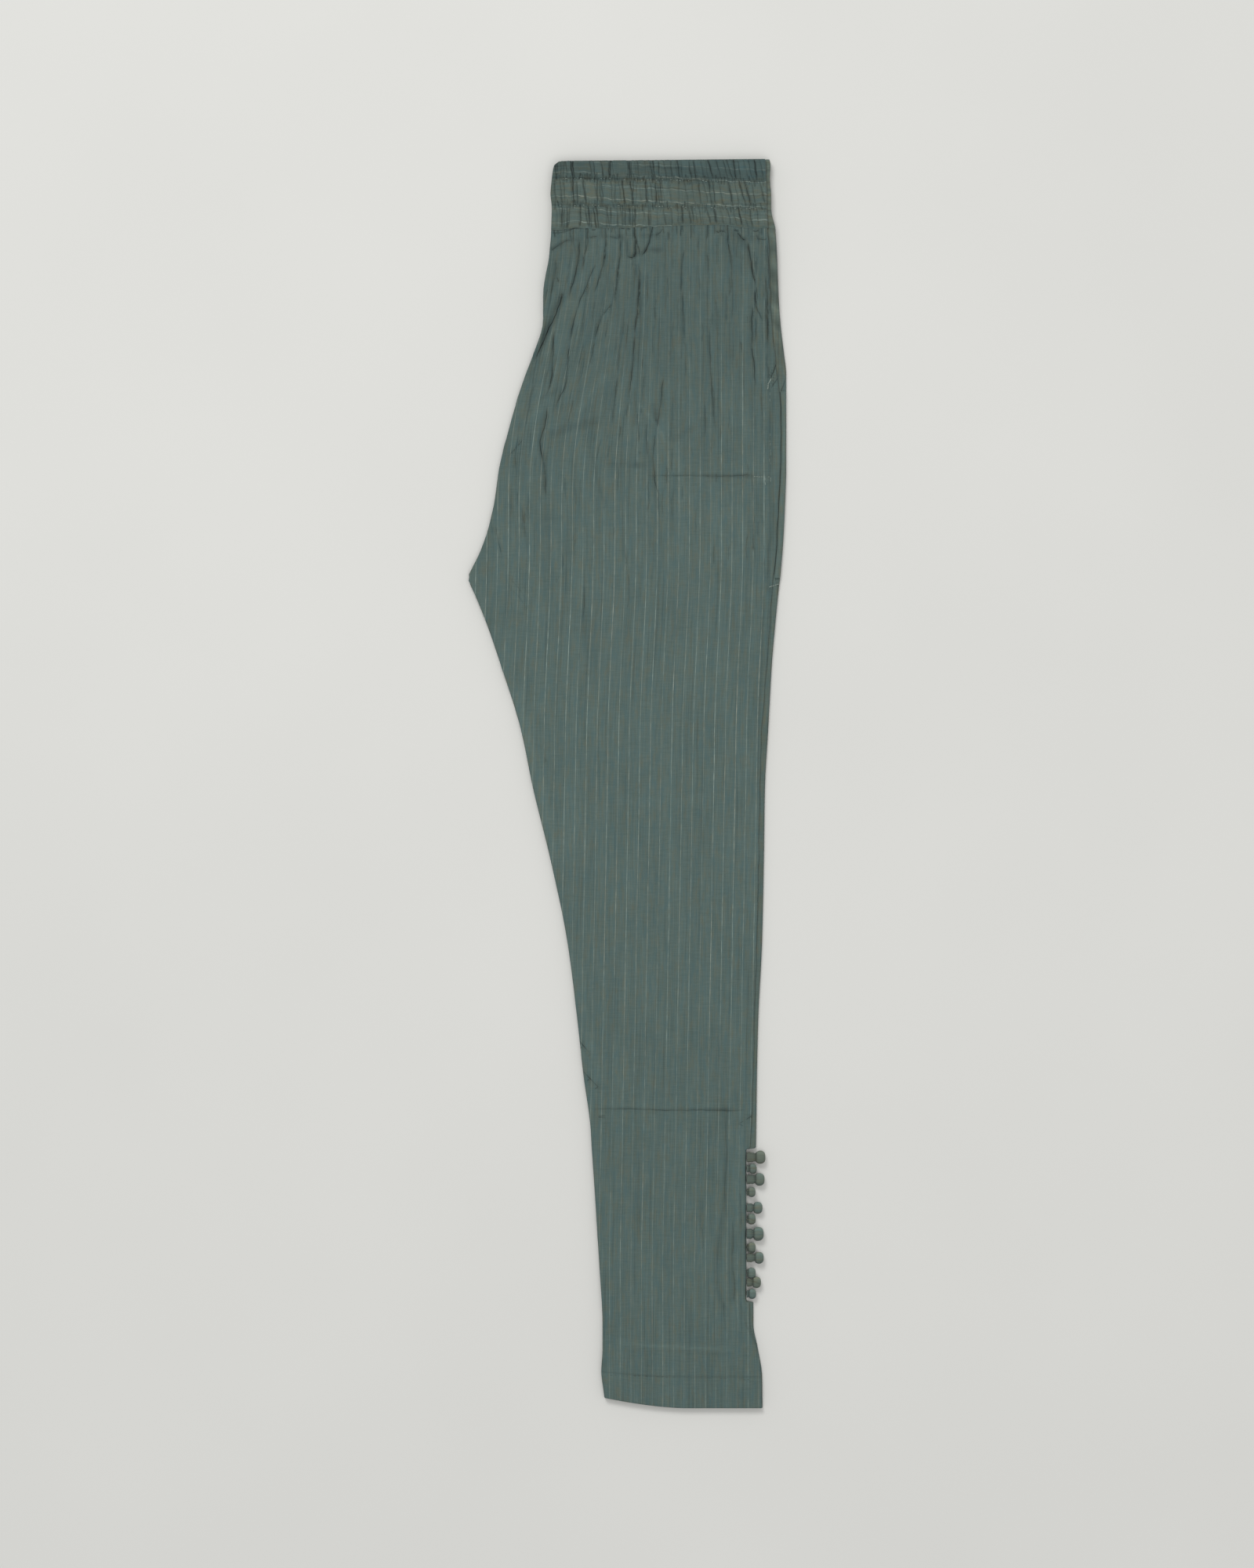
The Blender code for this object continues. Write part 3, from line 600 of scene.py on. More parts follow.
# Tone of the waistband: painted shade in its gathers and along its stitches, painted light on the
# gathers' shoulders, painted light and shade that differ from facet to facet, and the top channel,
# which is darker and cooler.
# Fades and coolness that grow hold where they start and over how far
BAND_SHADE = 0.12
BAND_GATHER_SHADE = 0.06
BAND_STITCH_SHADE = 0.12
BAND_SHOULDER_LIGHT = 0.05
BAND_TOP_SHADE = 0.16
BAND_TOP_FADES = (12.3, 8.0)
BAND_COOLNESS = -0.1
BAND_TOP_COOLNESS = (0.2, 0.35)
BAND_TOP_COOLER_FROM = (-10.0, 90.0)
BAND_TOP_STRIPES_FAINTER = 0.2
BAND_STRIPES_IN_FOLDS_FAINTER = 0.7
BAND_FOLD_HALF_WIDTH = 0.7
BAND_FACET_TILTS = (-0.7, 0.7)
BAND_FACET_PAINTED_SHADES = (-0.06, 0.06)
BAND_FACET_HUES = (-0.08, 0.08)
BAND_FACET_STRIPES = (0.35, 1.5)
BAND_FACET_FADES_OVER = 2.0
BAND_RIPPLE_LENGTHS = (1.7, 5.0)
BAND_RIPPLE_HEIGHT = 0.1

# Rounded edges of every wall of cloth, and its tighter ends where it is sewn on
EDGE_RADIUS = 1.6
SEWN_RADIUS = 0.4
EDGE_STEPS = 5
END_LIFT = 0.12
SEWN_GAP = 0.02

# Numbers that each point's look holds, and a fold distance that is out of every fold's reach
LOOKS = 5
FAR = 9.0

# Rings down each wall: from this drop on, at most this far apart
LOWER_ROWS = (
    (746.0, 1.0),
    (757.0, 7.0),
    (779.0, 1.0),
    (785.0, 7.0),
    (900.0, 1.0),
    (908.0, 4.0),
    (936.0, 2.0),
    (958.0, 0.9),
    (968.0, 3.0),
)
UPPER_ROWS = ((54.0, 1.0), (85.0, 1.6), (150.0, 2.2), (247.0, 1.1), (254.0, 2.2), (320.0, 6.5))
LEG_ROWS = UPPER_ROWS + LOWER_ROWS
PLAIN_ROWS = ((54.0, 6.0), (320.0, 8.0)) + LOWER_ROWS
BAND_ROWS = ((0.0, 0.45),)
PLAIN_BAND_ROWS = ((0.0, 1.2),)

# Points across the faces of the cloth that is hidden or lies underneath
INNER_COLUMNS = 6
HIDDEN_LEG_COLUMNS = (24, 24)
UNDER_LEG_COLUMNS = (24, 60)
HIDDEN_BAND_COLUMNS = (150, 150)
FACING_COLUMNS = (8, 4)

# The back panels' edge beside the side seam. Its stripes fade out from where the panel on top stops
# covering it, it has painted shade of puckers high up without relief of its own, and past the pocket
# it ends a little short of the layer below
BACK_COVERED = 3.0
BACK_STRIPES_OVER = 2.0
BACK_PUCKER_SHADE = 0.2
BACK_PUCKER_SEED = 77
BACK_PUCKER_LENGTHS = (3.0, 14.0)
BACK_PUCKER_SWING = 1.1
BACK_PUCKER_ENDS = (140.0, 60.0)
BACK_SHADE = 0.04
BACK_COOLNESS = (-0.1, -0.15)
BACK_POCKET_OVER = 8.0
BACK_EDGE_SHORT = 0.5

# Inset of an uneven edge, as shares of the most: its middle and its swing
WOBBLE_MIDDLE = 0.5
WOBBLE_SWING = 0.35

# Where the hidden waistband quarters are pinched in at their gathers
PINCH_DEPTH = 0.45
PINCH_STEP = 5.1
PINCH_WANDER = (0.9, 9.0)
PINCH_LEAN = 0.02
PINCH_SHARES = (0.6, 0.4)
PINCH_FINE_OVER = 1.3
# How dark the painted shade in the pinches' waves is drawn
PINCH_SHADE = 0.7
HIDDEN_BAND_LOWER = 0.9
HIDDEN_BAND_LOWER_TO = (108.0, 4.0)
# Painted light over each hidden quarter, and its warmer hue
HIDDEN_BAND_LIGHT_AND_HUE = (-0.1, -0.35)

# Pocket facings: their tone and the width of the lower one, then for each its name, its node and the
# area of its cut in square metres
PLAIN_TONE = (-0.04, -0.1)
FACING_WIDTH = 9.0
FACING_STEP = 3.0
FACINGS = (
    ("left_facing", "left_pocket_facing", 0.00075),
    ("right_facing", "right_pocket_facing", 0.00155),
)

# Stitches
STITCH_SIDES = 6
STITCH_RINGS = ((-0.5, 0.35), (-0.36, 1.0), (0.0, 1.1), (0.36, 1.0), (0.5, 0.35))

# Each kind of stitch: its length and pitch, its thickness as a share of the thread's, and roughness
STITCHES = {
    "hem": (1.9, 3.1, 0.8, 0.3),
    "seam": (2.0, 2.5, 0.5, 0.5),
    "pocket": (1.7, 1.9, 0.9, 0.2),
    "tack": (0.9, 0.6, 1.6, 0.1),
    "waistband": (1.2, 2.3, 0.85, 0.55),
}

# Where they run, as x and drop
HEM_STITCH_XS = (-17.0, 20.0, 60.0, 103.0)
HEM_STITCH_START = (-20.0, 961.0)
HEM_STITCH_SLANT = 0.03
SEAM_STITCH_DROPS = range(184, 250, 8)
SEAM_STITCH_INSET = 0.4
POCKET_STITCH_PATHS = (
    ((100.0, 250.6), (114.0, 250.8)),
    ((109.1, 251.5), (109.3, 257.0)),
    ((113.8, 251.0), (113.8, 254.0)),
)
TACK_PATHS = (
    ((111.6, 177.5), (113.9, 173.5)),
    ((111.7, 178.0), (111.4, 181.5)),
    ((112.5, 338.0), (120.3, 335.5)),
)
TACK_HEIGHTS = (0.2, 0.1)
TACK_OVER_EDGE = 0.6
BAND_STITCH_XS = range(-56, 110, 6)

# Stage in metres. A light has its name, the setting that holds its power, its size and its place
FLOOR_HALF_SIDE = 8.0
FLOOR_Z = -0.0004
LIGHTS = (
    ("key_light", "key_power", 1.4, (-0.8, 2.0, 3.0)),
    ("fill_light", "fill_power", 3.0, (0.6, -0.8, 4.6)),
)
FACE_HEIGHT = 0.006

# The camera's sensor, in millimetres as its lens is
SENSOR_WIDTH = 36.0

# Buttons
BUTTON_SIDES = 44
BUTTON_SEED = 100
TAIL_RINGS = 9
BALL_RINGS = 24

# Their shape, in shares of the half width except for the gap: the tail, its tied neck and the ball
TAIL_GIRTH = 0.72
TAIL_UNEVEN = 0.03
TAIL_WAVES = 9.0
NECK_NARROWER = 0.16
NECK_SHARE = 0.4
NECK_GAP = 0.2
BALL_LENGTH = 1.45
BALL_ANGLES = (-58.0, 88.0)
BALL_ROUNDNESS = 0.62
PLEAT_DEPTH = 0.05
BROAD_PLEATS = 5.0
PLEATS_FADE = 1.5
WRAP_DEPTH = 0.09
WRAP_HALF_WIDTH = 0.16
WRAP_TURN = 0.9
WRAP_AT_NECK = 0.3

# Their tone: painted shade at the neck, at the wrapped edge and in the pleats' hollows, painted light on
# the pleats' crests, the ball lighter, with a painted highlight on its side towards the waist and
# painted shade on its far side
NECK_SHADE = 0.35
NECK_SHADE_HALF_WIDTH = 0.9
WRAP_SHADE = 3.5
PLEAT_LIGHT = 1.6
BALL_LIGHT = 0.2
BALL_LIT = (0.6, 0.45)
BALL_SHADED = (0.3, 0.35)
BALL_LIGHT_OVER = 1.5
BUTTON_SHADE = 0.06
BUTTON_COOLNESS = (-0.6, -0.05)
BUTTON_CLOTH_STEP = 40.0


def linear(code):
    """Linear red, green and blue of an sRGB hex code."""
    parts = [int(code[place : place + 2], 16) / 255.0 for place in (1, 3, 5)]
    return [part / 12.92 if part <= 0.04045 else ((part + 0.055) / 1.055) ** 2.4 for part in parts]


def length_property(name, description, default, least=0.0001):
    """A length in metres."""
    return FloatProperty(
        name=name, description=description, default=default, min=least, unit="LENGTH", precision=5
    )


def colour_property(name, description, code):
    """A colour, from its sRGB hex code."""
    return FloatVectorProperty(
        name=name, description=description, default=linear(code), size=3, subtype="COLOR"
    )


def count_property(name, description, default, least):
    """A whole number."""
    return IntProperty(name=name, description=description, default=default, min=least)


def light_property(name, description, default, unit="POWER"):
    """The power or strength of a light."""
    return FloatProperty(name=name, description=description, default=default, min=0.0, unit=unit)


class PantsCloth(bpy.types.PropertyGroup):
    stripe_step: length_property(
        "Stripe spacing", "Distance from one pin stripe to the next across the cloth", STRIPE_STEP * MM
    )
    stripe_width: length_property(
        "Stripe width", "Width of the slub yarn that makes a pin stripe", 0.00055
    )
    dark_yarn: colour_property("Dark yarn", "Darkest warp yarns of the grey-green ground", "#495a55")
    light_yarn: colour_property("Light yarn", "Lightest warp yarns of the grey-green ground", "#5f6f6a")
    cool_yarn: colour_property("Cool yarn", "Blue-green yarns that come and go in the ground", "#4b6364")
    warm_yarn: colour_property("Warm yarn", "Brown-grey yarns that come and go in the ground", "#5f6456")
    pale_slub: colour_property("Pale slub", "Greyish white of most pin stripes", "#85948d")
    warm_slub: colour_property("Warm slub", "Brownish white of some lengths of the stripes", "#8d9083")
    hem_thread: colour_property("Hem thread", "The hem's sewing thread, darker than the ground", "#54635e")
    thread: colour_property("Thread", "Sewing thread, matched to the ground", "#8a9890")


class PantsShape(bpy.types.PropertyGroup):
    columns: count_property(
        "Columns", "Points across the upper leg's cloth, from the inseam to the side seam", 292, 20
    )
    band_columns: count_property(
        "Waistband columns", "Points across the gathered waistband that shows", 540, 40
    )
    thread_width: length_property("Thread width", "Thickness of the sewing thread as drawn", 0.0005)
    button_pleats: count_property(
        "Button pleats", "Pleats of the cloth that is gathered behind each ball button", 11, 3
    )


class PantsStage(bpy.types.PropertyGroup):
    floor_colour: colour_property("Floor", "Pale matte floor", "#dcdcd8")
    lens: FloatProperty(
        name="Lens",
        description="Focal length of the camera over the garment",
        default=120.0,
        min=10.0,
        unit="CAMERA",
    )
    view_length: length_property(
        "View length", "Length of floor that the picture's long side takes in", 1.24, 0.1
    )
    key_power: light_property("Key power", "Power of the large light beyond the waist", 55.0)
    fill_power: light_property("Fill power", "Power of the broad light overhead", 60.0)
    sky_strength: light_property(
        "Sky strength", "Strength of the even light from all round", 0.45, "NONE"
    )


def ease(value):
    """0 below 0, 1 above 1 and a smooth climb between: 3 t squared minus 2 t cubed."""
    share = np.clip(value, 0.0, 1.0)
    return share * share * (3.0 - 2.0 * share)


def bell(distance, half_width):
    """A smooth bump that is 1 at no distance and falls to 1/e at its half width."""
    return np.exp(-((distance / half_width) ** 2))


def column(table, columns, name):
    """One named column of a table, as an array."""
    return np.array([row[columns.index(name)] for row in table], float)


def lookup(table, columns, name, at):
    """A table's column at each place of its first column, straight between rows."""
    return np.interp(at, column(table, columns, columns[0]), column(table, columns, name))


def outline(table, name, drop):
    """An outline's column at each drop: a smooth curve through its rows that never swings past them.

    Its slope at a row is the harmonic mean of the slopes to both neighbours, or 0 where it turns back.
    Between two rows it is the cubic with their heights and slopes.
    """
    knots = column(table, OUTLINE_COLUMNS, "drop")
    values = column(table, OUTLINE_COLUMNS, name)
    spans = np.diff(knots)
    steps = np.diff(values)
    slopes = steps / spans
    before, after = slopes[:-1], slopes[1:]
    onward = before * after > 0.0
    mean = 2.0 * before * after / np.where(onward, before + after, 1.0)
    tilts = np.concatenate((slopes[:1], np.where(onward, mean, 0.0), slopes[-1:]))
    row = np.clip(np.searchsorted(knots, drop, side="right") - 1, 0, len(spans) - 1)
    share = np.clip((drop - knots[row]) / spans[row], 0.0, 1.0)
    bend = tilts[row] * (1.0 - share) - tilts[row + 1] * share
    bend = bend * spans[row] * share * (1.0 - share)
    return values[row] + steps[row] * ease(share) + bend


def run_of(path):
    """How far along a bent line each of its points lies."""
    return np.concatenate(([0.0], np.cumsum(np.hypot(*np.diff(path, axis=0).T))))


def places_on(path, stops):
    """Places on a bent line at given distances along it."""
    run = run_of(path)
    return np.stack([np.interp(stops, run, path[:, axis]) for axis in (0, 1)], 1)


def crease_line(points):
    """A bent line with its corners cut twice, then resampled evenly and given a slight meander."""
    path = np.array(points, float)
    for _ in range(2):
        near = 0.75 * path[:-1] + 0.25 * path[1:]
        far = 0.25 * path[:-1] + 0.75 * path[1:]
        path = np.concatenate((path[:1], np.stack((near, far), 1).reshape(-1, 2), path[-1:]))
    length = run_of(path)[-1]
    stops = np.linspace(0.0, length, max(3, int(length / CREASE_STEP) + 2))
    path = places_on(path, stops)
    start = path[0].sum()
    sideways = MEANDER * sum(np.sin(stops / wave + turn * start) for wave, turn in MEANDER_WAVES)
    along = np.gradient(path, axis=0)
    across = np.stack((-along[:, 1], along[:, 0]), 1) / np.hypot(*along.T)[:, None]
    return path + across * sideways[:, None], length


def near_line(x, drop, path, reach):
    """Which points lie within reach of the box round a bent line."""
    low, high = path.min(0) - reach, path.max(0) + reach
    return (x > low[0]) & (x < high[0]) & (drop > low[1]) & (drop < high[1])


def path_distance(x, drop, path):
    """Each point's distance from a bent line, positive on its right going down, and where along it."""
    steps = np.diff(path, axis=0)
    lengths = np.hypot(steps[:, 0], steps[:, 1])
    starts = np.concatenate(([0.0], np.cumsum(lengths)))
    nearest = np.full(x.shape, np.inf)
    along = np.zeros(x.shape)
    for (x0, drop0), (dx, dd), length, start in zip(path[:-1], steps, lengths, starts[:-1]):
        share = np.clip(((x - x0) * dx + (drop - drop0) * dd) / length**2, 0.0, 1.0)
        distance = np.hypot(x - x0 - share * dx, drop - drop0 - share * dd)
        nearer = distance < np.abs(nearest)
        side = np.where((x - x0) * dd - (drop - drop0) * dx > 0.0, 1.0, -1.0)
        along = np.where(nearer, (start + share * length) / starts[-1], along)
        nearest = np.where(nearer, side * distance, nearest)
    return nearest, along


def crease_field(x, drop, creases):
    """Depth, shoulder height, distance and painted shadow of many creases at each point.

    A crease is a bell-shaped groove along its bent line, fading towards both ends and a little uneven
    in depth. A soft shoulder rises beside it, higher on its right. Where creases meet, the deeper one
    holds. The distance is from the nearest crease's line, and the darkness of the painted shadow drawn
    along that line is 0 out of its reach.
    """
    depth = np.zeros(x.shape)
    shoulder = np.zeros(x.shape)
    nearest = np.full(x.shape, 2.0 * FOLD_SHADOW_REACH)
    dark = np.zeros(x.shape)
    for points, half_width, deep in creases:
        path, length = crease_line(points)
        near = near_line(x, drop, path, CREASE_REACH * half_width)
        if not near.any():
            continue
        distance, along = path_distance(x[near], drop[near], path)
        away = np.abs(distance)
        uneven = 1.0 - CREASE_UNEVEN * (1.0 - np.sin(along * length / CREASE_UNEVEN_OVER + path[0, 0]))
        fade = deep * uneven * ease(along / CREASE_FADES[0]) * ease((1.0 - along) / CREASE_FADES[1])
        groove = GROOVE_DEPTH_SHARE * fade * bell(distance, GROOVE_SHARE * half_width)
        depth[near] = np.maximum(depth[near], groove)
        rise = np.where(distance > 0.0, SHOULDERS[0], SHOULDERS[1]) * (1.0 - bell(distance, half_width))
        rise = fade * rise * np.exp(-away / (SHOULDER_REACH * half_width))
        shoulder[near] = np.maximum(shoulder[near], rise)
        # Painted shadow along the nearest crease's line, fully dark near it and fading out towards its reach
        closer = away < np.abs(nearest[near])
        within = 1.0 - ease((away / FOLD_SHADOW_REACH - FOLD_SHADOW_FULL_SHARE) / (1.0 - FOLD_SHADOW_FULL_SHARE))
        dark[near] = np.where(closer, np.minimum(FOLD_SHADOW_PER_MM * fade, 1.0) * within, dark[near])
        nearest[near] = np.where(closer, distance, nearest[near])
    return depth, shoulder, nearest, dark


def photo_place(x, y):
    """A pixel's x and drop in millimetres."""
    return PHOTO_MM * (x - PHOTO_ORIGIN[0]), PHOTO_MM * (y - PHOTO_ORIGIN[1])


def from_photo(creases):
    """Creases whose lines are in the photograph's pixels, as x and drop in millimetres."""
    return [([photo_place(*point) for point in line], *rest) for line, *rest in creases]


def dent_shade(x, drop):
    """How dark the soft dents' painted shade and the specks make each point, lighter where an amount is
    below 0: a bell in both directions for each.
    """
    total = np.zeros(x.shape)
    for middle, (wide, tall), dark in DENTS:
        middle_x, middle_drop = photo_place(*middle)
        across = bell(x - middle_x, PHOTO_MM * wide)
        total = total + dark * across * bell(drop - middle_drop, PHOTO_MM * tall)
    return total


def soft_fold_shade(x, drop):
    """How dark the painted shade along the broad shallow folds makes each point, lighter where an amount is
    below 0: a bell across each line, fading at its ends.
    """
    total = np.zeros(x.shape)
    for points, half_width, dark in from_photo(SOFT_FOLD_SHADES):
        path, _ = crease_line(points)
        half_width = PHOTO_MM * half_width
        near = near_line(x, drop, path, SOFT_FOLD_REACH * half_width)
        distance, along = path_distance(x[near], drop[near], path)
        ends = ease(along / SOFT_FOLD_FADES) * ease((1.0 - along) / SOFT_FOLD_FADES)
        total[near] += dark * ends * bell(distance, half_width)
    return total


def core_top(drop):
    """Top of the hidden back panels: flat in the legs, rising to the waistband."""
    rise = (RISE_ENDS_DROP - drop) / (RISE_ENDS_DROP - WAIST_SEAM_DROP)
    return CORE_TOP_FLAT + (CORE_TOP_AT_BAND - CORE_TOP_FLAT) * ease(rise)


def stripe_drift(x, drop):
    """How far the cloth's grain lies to the right of straight down.

    It eases over along the thigh and goes on evenly down the calf. Near the rise it also leans, more
    and more up to the waist.
    """
    thigh_top, thigh_low = THIGH_DROPS
    thigh = THIGH_DRIFT * ease((drop - thigh_top) / (thigh_low - thigh_top))
    calf = CALF_DRIFT * np.clip((drop - thigh_low) / (CALF_ENDS_DROP - thigh_low), 0.0, 1.0)
    lean = STRIPE_LEAN * ease((LEAN_ENDS_DROP - drop) / (LEAN_ENDS_DROP - WAIST_SEAM_DROP)) ** LEAN_POWER
    weight = ease((LEAN_ENDS_X - x) / (LEAN_ENDS_X - LEAN_FULL_X))
    return STRIPES_ABOVE_FORK + thigh + calf + lean * weight


def leg_grain(x, drop):
    """Place on the leg's cloth: across its stripes, then along them."""
    return x - STRIPE_PHASE - stripe_drift(x, drop), drop


def band_grain(x, drop):
    """Place on the waistband's cloth, cut crosswise, so its stripes run across it.

    The gathers tug the stripes up and down, as two sine waves, and draw the cloth together along them.
    """
    across = drop - lookup(BAND_STRIPE, BAND_STRIPE_COLUMNS, "drop", x)
    for tug, over_x, over_drop in BAND_TUGS:
        across = across + tug * np.sin(x / over_x + drop / over_drop)
    return across * STRIPE_STEP / BAND_STRIPE_STEP, BAND_CLOTH_PER_MM * x + BAND_CLOTH_START


def grain_path(x, drop, length, bow):
    """A line of three points that runs down the grain from a place, with its middle pushed aside."""
    places = drop + length * np.array((0.0, 0.5, 1.0))
    drift = stripe_drift(np.full(3, x), places)
    aside = np.array((0.0, bow, 0.0))
    return list(zip(x + drift - drift[0] + aside, places))


def seam_puckers():
    """Short creases that run down from the waist seam, unevenly spaced and following the stripes."""
    draw = np.random.default_rng(PUCKER_SEED)
    left, right = WAIST_EDGES
    creases = []
    x = left + draw.uniform(*PUCKER_STEPS)
    while x < right:
        length = draw.uniform(*PUCKER_LENGTHS) * draw.uniform(*PUCKER_SHORTENING)
        above = PUCKER_OVERLAPS[0] + PUCKER_SHARE_ABOVE * length
        whole = above + length + PUCKER_OVERLAPS[1]
        path = grain_path(x, WAIST_SEAM_DROP - above, whole, draw.uniform(-PUCKER_BOW, PUCKER_BOW))
        half_width = draw.uniform(*PUCKER_HALF_WIDTHS)
        creases.append((path, half_width, draw.uniform(*PUCKER_DEPTHS)))
        x += draw.uniform(*PUCKER_STEPS)
    return creases


def fine_wrinkles():
    """Shallow creases strewn over the upper leg along its grain, thinning out towards the fork."""
    draw = np.random.default_rng(WRINKLE_SEED)
    top, low = WRINKLE_DROPS
    creases = []
    for _ in range(WRINKLE_COUNT):
        drop = top + (low - top) * draw.uniform() ** WRINKLES_THIN_OUT
        x = draw.uniform(*LEG_SPREAD)
        length = draw.uniform(*WRINKLE_LENGTHS)
        path = grain_path(x, drop, length, draw.uniform(-WRINKLE_BOW, WRINKLE_BOW) * length)
        creases.append((path, draw.uniform(*WRINKLE_HALF_WIDTHS), draw.uniform(*WRINKLE_DEPTHS)))
    return creases


def slow_waves(x, drop, seed, lengths=WAVE_LENGTHS, swing=WAVE_SWING):
    """A sum of sine waves of drawn length, direction and start, about one high."""
    draw = np.random.default_rng(seed)
    total = np.zeros(np.broadcast(x, drop).shape)
    for _ in range(WAVE_COUNT):
        wave = 2.0 * math.pi / draw.uniform(*lengths)
        turn = draw.uniform(-swing, swing)
        start = draw.uniform(0.0, 2.0 * math.pi)
        total = total + np.sin(wave * (x * math.cos(turn) + drop * math.sin(turn)) + start)
    return total / math.sqrt(WAVE_COUNT)


def sway(x, drop):
    """How far points move down so that the waist's edge slants, its seam sways and the hem rises.

    Each shift is whole at its own edge and eases off away from it.
    """
    left, right = WAIST_EDGES
    slant = WAIST_SLANT * (1.0 - ease(drop / WAIST_SLANT_OVER))
    slant = slant * np.clip((right - x) / (right - left), 0.0, 1.0)
    seam = lookup(WAIST_SEAM, WAIST_SEAM_COLUMNS, "drop", x) - WAIST_SEAM_DROP
    seam = seam * (1.0 - ease(np.abs(drop - WAIST_SEAM_DROP) / SEAM_SWAY_OVER))
    share = np.clip((HEM_RISES_FROM_X - x) / (HEM_RISES_FROM_X - HEM_INSEAM_X), 0.0, 1.0)
    hem = -HEM_RISE * share**HEM_RISE_POWER
    return slant + seam + hem * ease((drop - HEM_DROP) / (LENGTH - HEM_DROP))


def hem_relief(drop):
    """The turned-up hem: a ridge at its upper edge, a double layer and a stitched groove."""
    doubled = HEM_EXTRA * ease((drop - HEM_DROP) / HEM_STEP + 0.5)
    ridge = HEM_RIDGE * bell(drop - HEM_DROP - HEM_STEP / 2.0, HEM_RIDGE_HALF_WIDTH)
    groove = HEM_GROOVE_DEPTH * bell(drop - HEM_STITCH_DROP, HEM_GROOVE_HALF_WIDTH)
    return doubled + ridge - groove


def leg_front_creases(x, drop):
    """Every crease of the left front panel: those listed, the seam's puckers and wrinkles."""
    placed = from_photo(CREASES + SEAM_TUCKS + PRESSED_CREASES)
    return crease_field(x, drop, placed + seam_puckers() + fine_wrinkles())


def seam_end(drop):
    """1 where the side seam's line shows and 0 below its end."""
    return ease((SIDE_SEAM_ENDS_DROP - drop) / SIDE_SEAM_FADES_OVER)


def leg_front_parts(x, drop):
    """Height of the left front panel's outer face over its inner face, its painted shade and light, and its
    folds.

    The height is the wall with its puff below the waist, waves, ripples, the creases' shoulders and
    the hem, less the creases' grooves and the side seam's.
    """
    puff = PUFF * bell(drop - WAIST_SEAM_DROP, PUFF_FADES_OVER)
    depth, shoulder, nearest, dark = leg_front_creases(x, drop)
    seam_x = lookup(SIDE_SEAM, SEAM_COLUMNS, "x", drop)
    seam = SIDE_SEAM_DEPTH * bell(x - seam_x, SIDE_SEAM_HALF_WIDTH) * seam_end(drop)
    seam = seam * ease((drop - SIDE_SEAM_STARTS_DROP) / SIDE_SEAM_STARTS_OVER)
    top_share = ease((FORK_DROP - drop) / WAVES_GROW_OVER)
    waves = slow_waves(x, drop, WAVE_SEED)
    waves = waves * (WAVE_HEIGHT_LEG + (WAVE_HEIGHT_TOP - WAVE_HEIGHT_LEG) * top_share)
    ripples = slow_waves(leg_grain(x, drop)[0], drop, RIPPLE_SEED, RIPPLE_LENGTHS, RIPPLE_SWING)
    ripples = ripples * (RIPPLE_HEIGHT_LEG + (RIPPLE_HEIGHT_TOP - RIPPLE_HEIGHT_LEG) * top_share)
    raised = FLAT_RELIEF + puff + waves + ripples + shoulder + hem_relief(drop)
    # Painted shade in the creases' and the side seam's grooves, and painted light on the creases' shoulders
    shade = RELIEF_SHADE * (depth + seam - shoulder)
    return np.maximum(PANEL_WALL + raised - depth - seam, THINNEST), shade, nearest, dark


def to_seam(top, away):
    """A face's height, brought to the waist seam's height over the last stretch before the seam."""
    return SEAM_TOP + (top - SEAM_TOP) * ease(away / SEAM_TUCK_OVER)


def leg_front_top(x, drop):
    """Height of the left front panel's outer face."""
    top = core_top(drop) + GAP + leg_front_parts(x, drop)[0]
    return to_seam(top, drop - WAIST_SEAM_DROP)


def leg_front_look(x, drop):
    """Painted shade and light, coolness, stripe strength, fold distance and the darkness of the folds'
    painted shadow, for the left front panel.
    """
    _, shade, nearest, dark = leg_front_parts(x, drop)
    seam_x = lookup(SIDE_SEAM, SEAM_COLUMNS, "x", drop)
    beyond_seam = ease(x - seam_x) * seam_end(drop)
    # Painted shade darker towards the waist and the hem, a painted shadow along the hem's stitched groove,
    # painted shade and light in the dents and along the broad folds, and the dark specks
    shade = shade + lookup(LEG_PAINTED_SHADE, LEG_PAINTED_SHADE_COLUMNS, "shade", drop)
    shade = shade + RELIEF_SHADE * bell(drop - HEM_STITCH_DROP, HEM_GROOVE_HALF_WIDTH)
    shade = shade + dent_shade(x, drop) + soft_fold_shade(x, drop)
    # A painted shadow along the waist seam, darker where the waistband hangs over it
    overhung = ease((SEAM_OVERHUNG_TO_X - x) / SEAM_OVERHUNG_OVER)
    overhung = SEAM_SHADES[0] + (SEAM_SHADES[1] - SEAM_SHADES[0]) * overhung
    shade = shade + overhung * bell(drop - SEAM_SHADE_DROP, SEAM_SHADE_HALF_WIDTH)
    loss, start, over = STRIPES_FAINTER_BELOW
    stripes = STRIPE_STRENGTH - loss * ease((drop - start) / over)
    loss, start, over = STRIPES_FAINTER_ABOVE
    stripes = stripes - loss * ease((start - drop) / over)
    return shade, LEG_COOLNESS, stripes * (1.0 - beyond_seam), nearest, dark


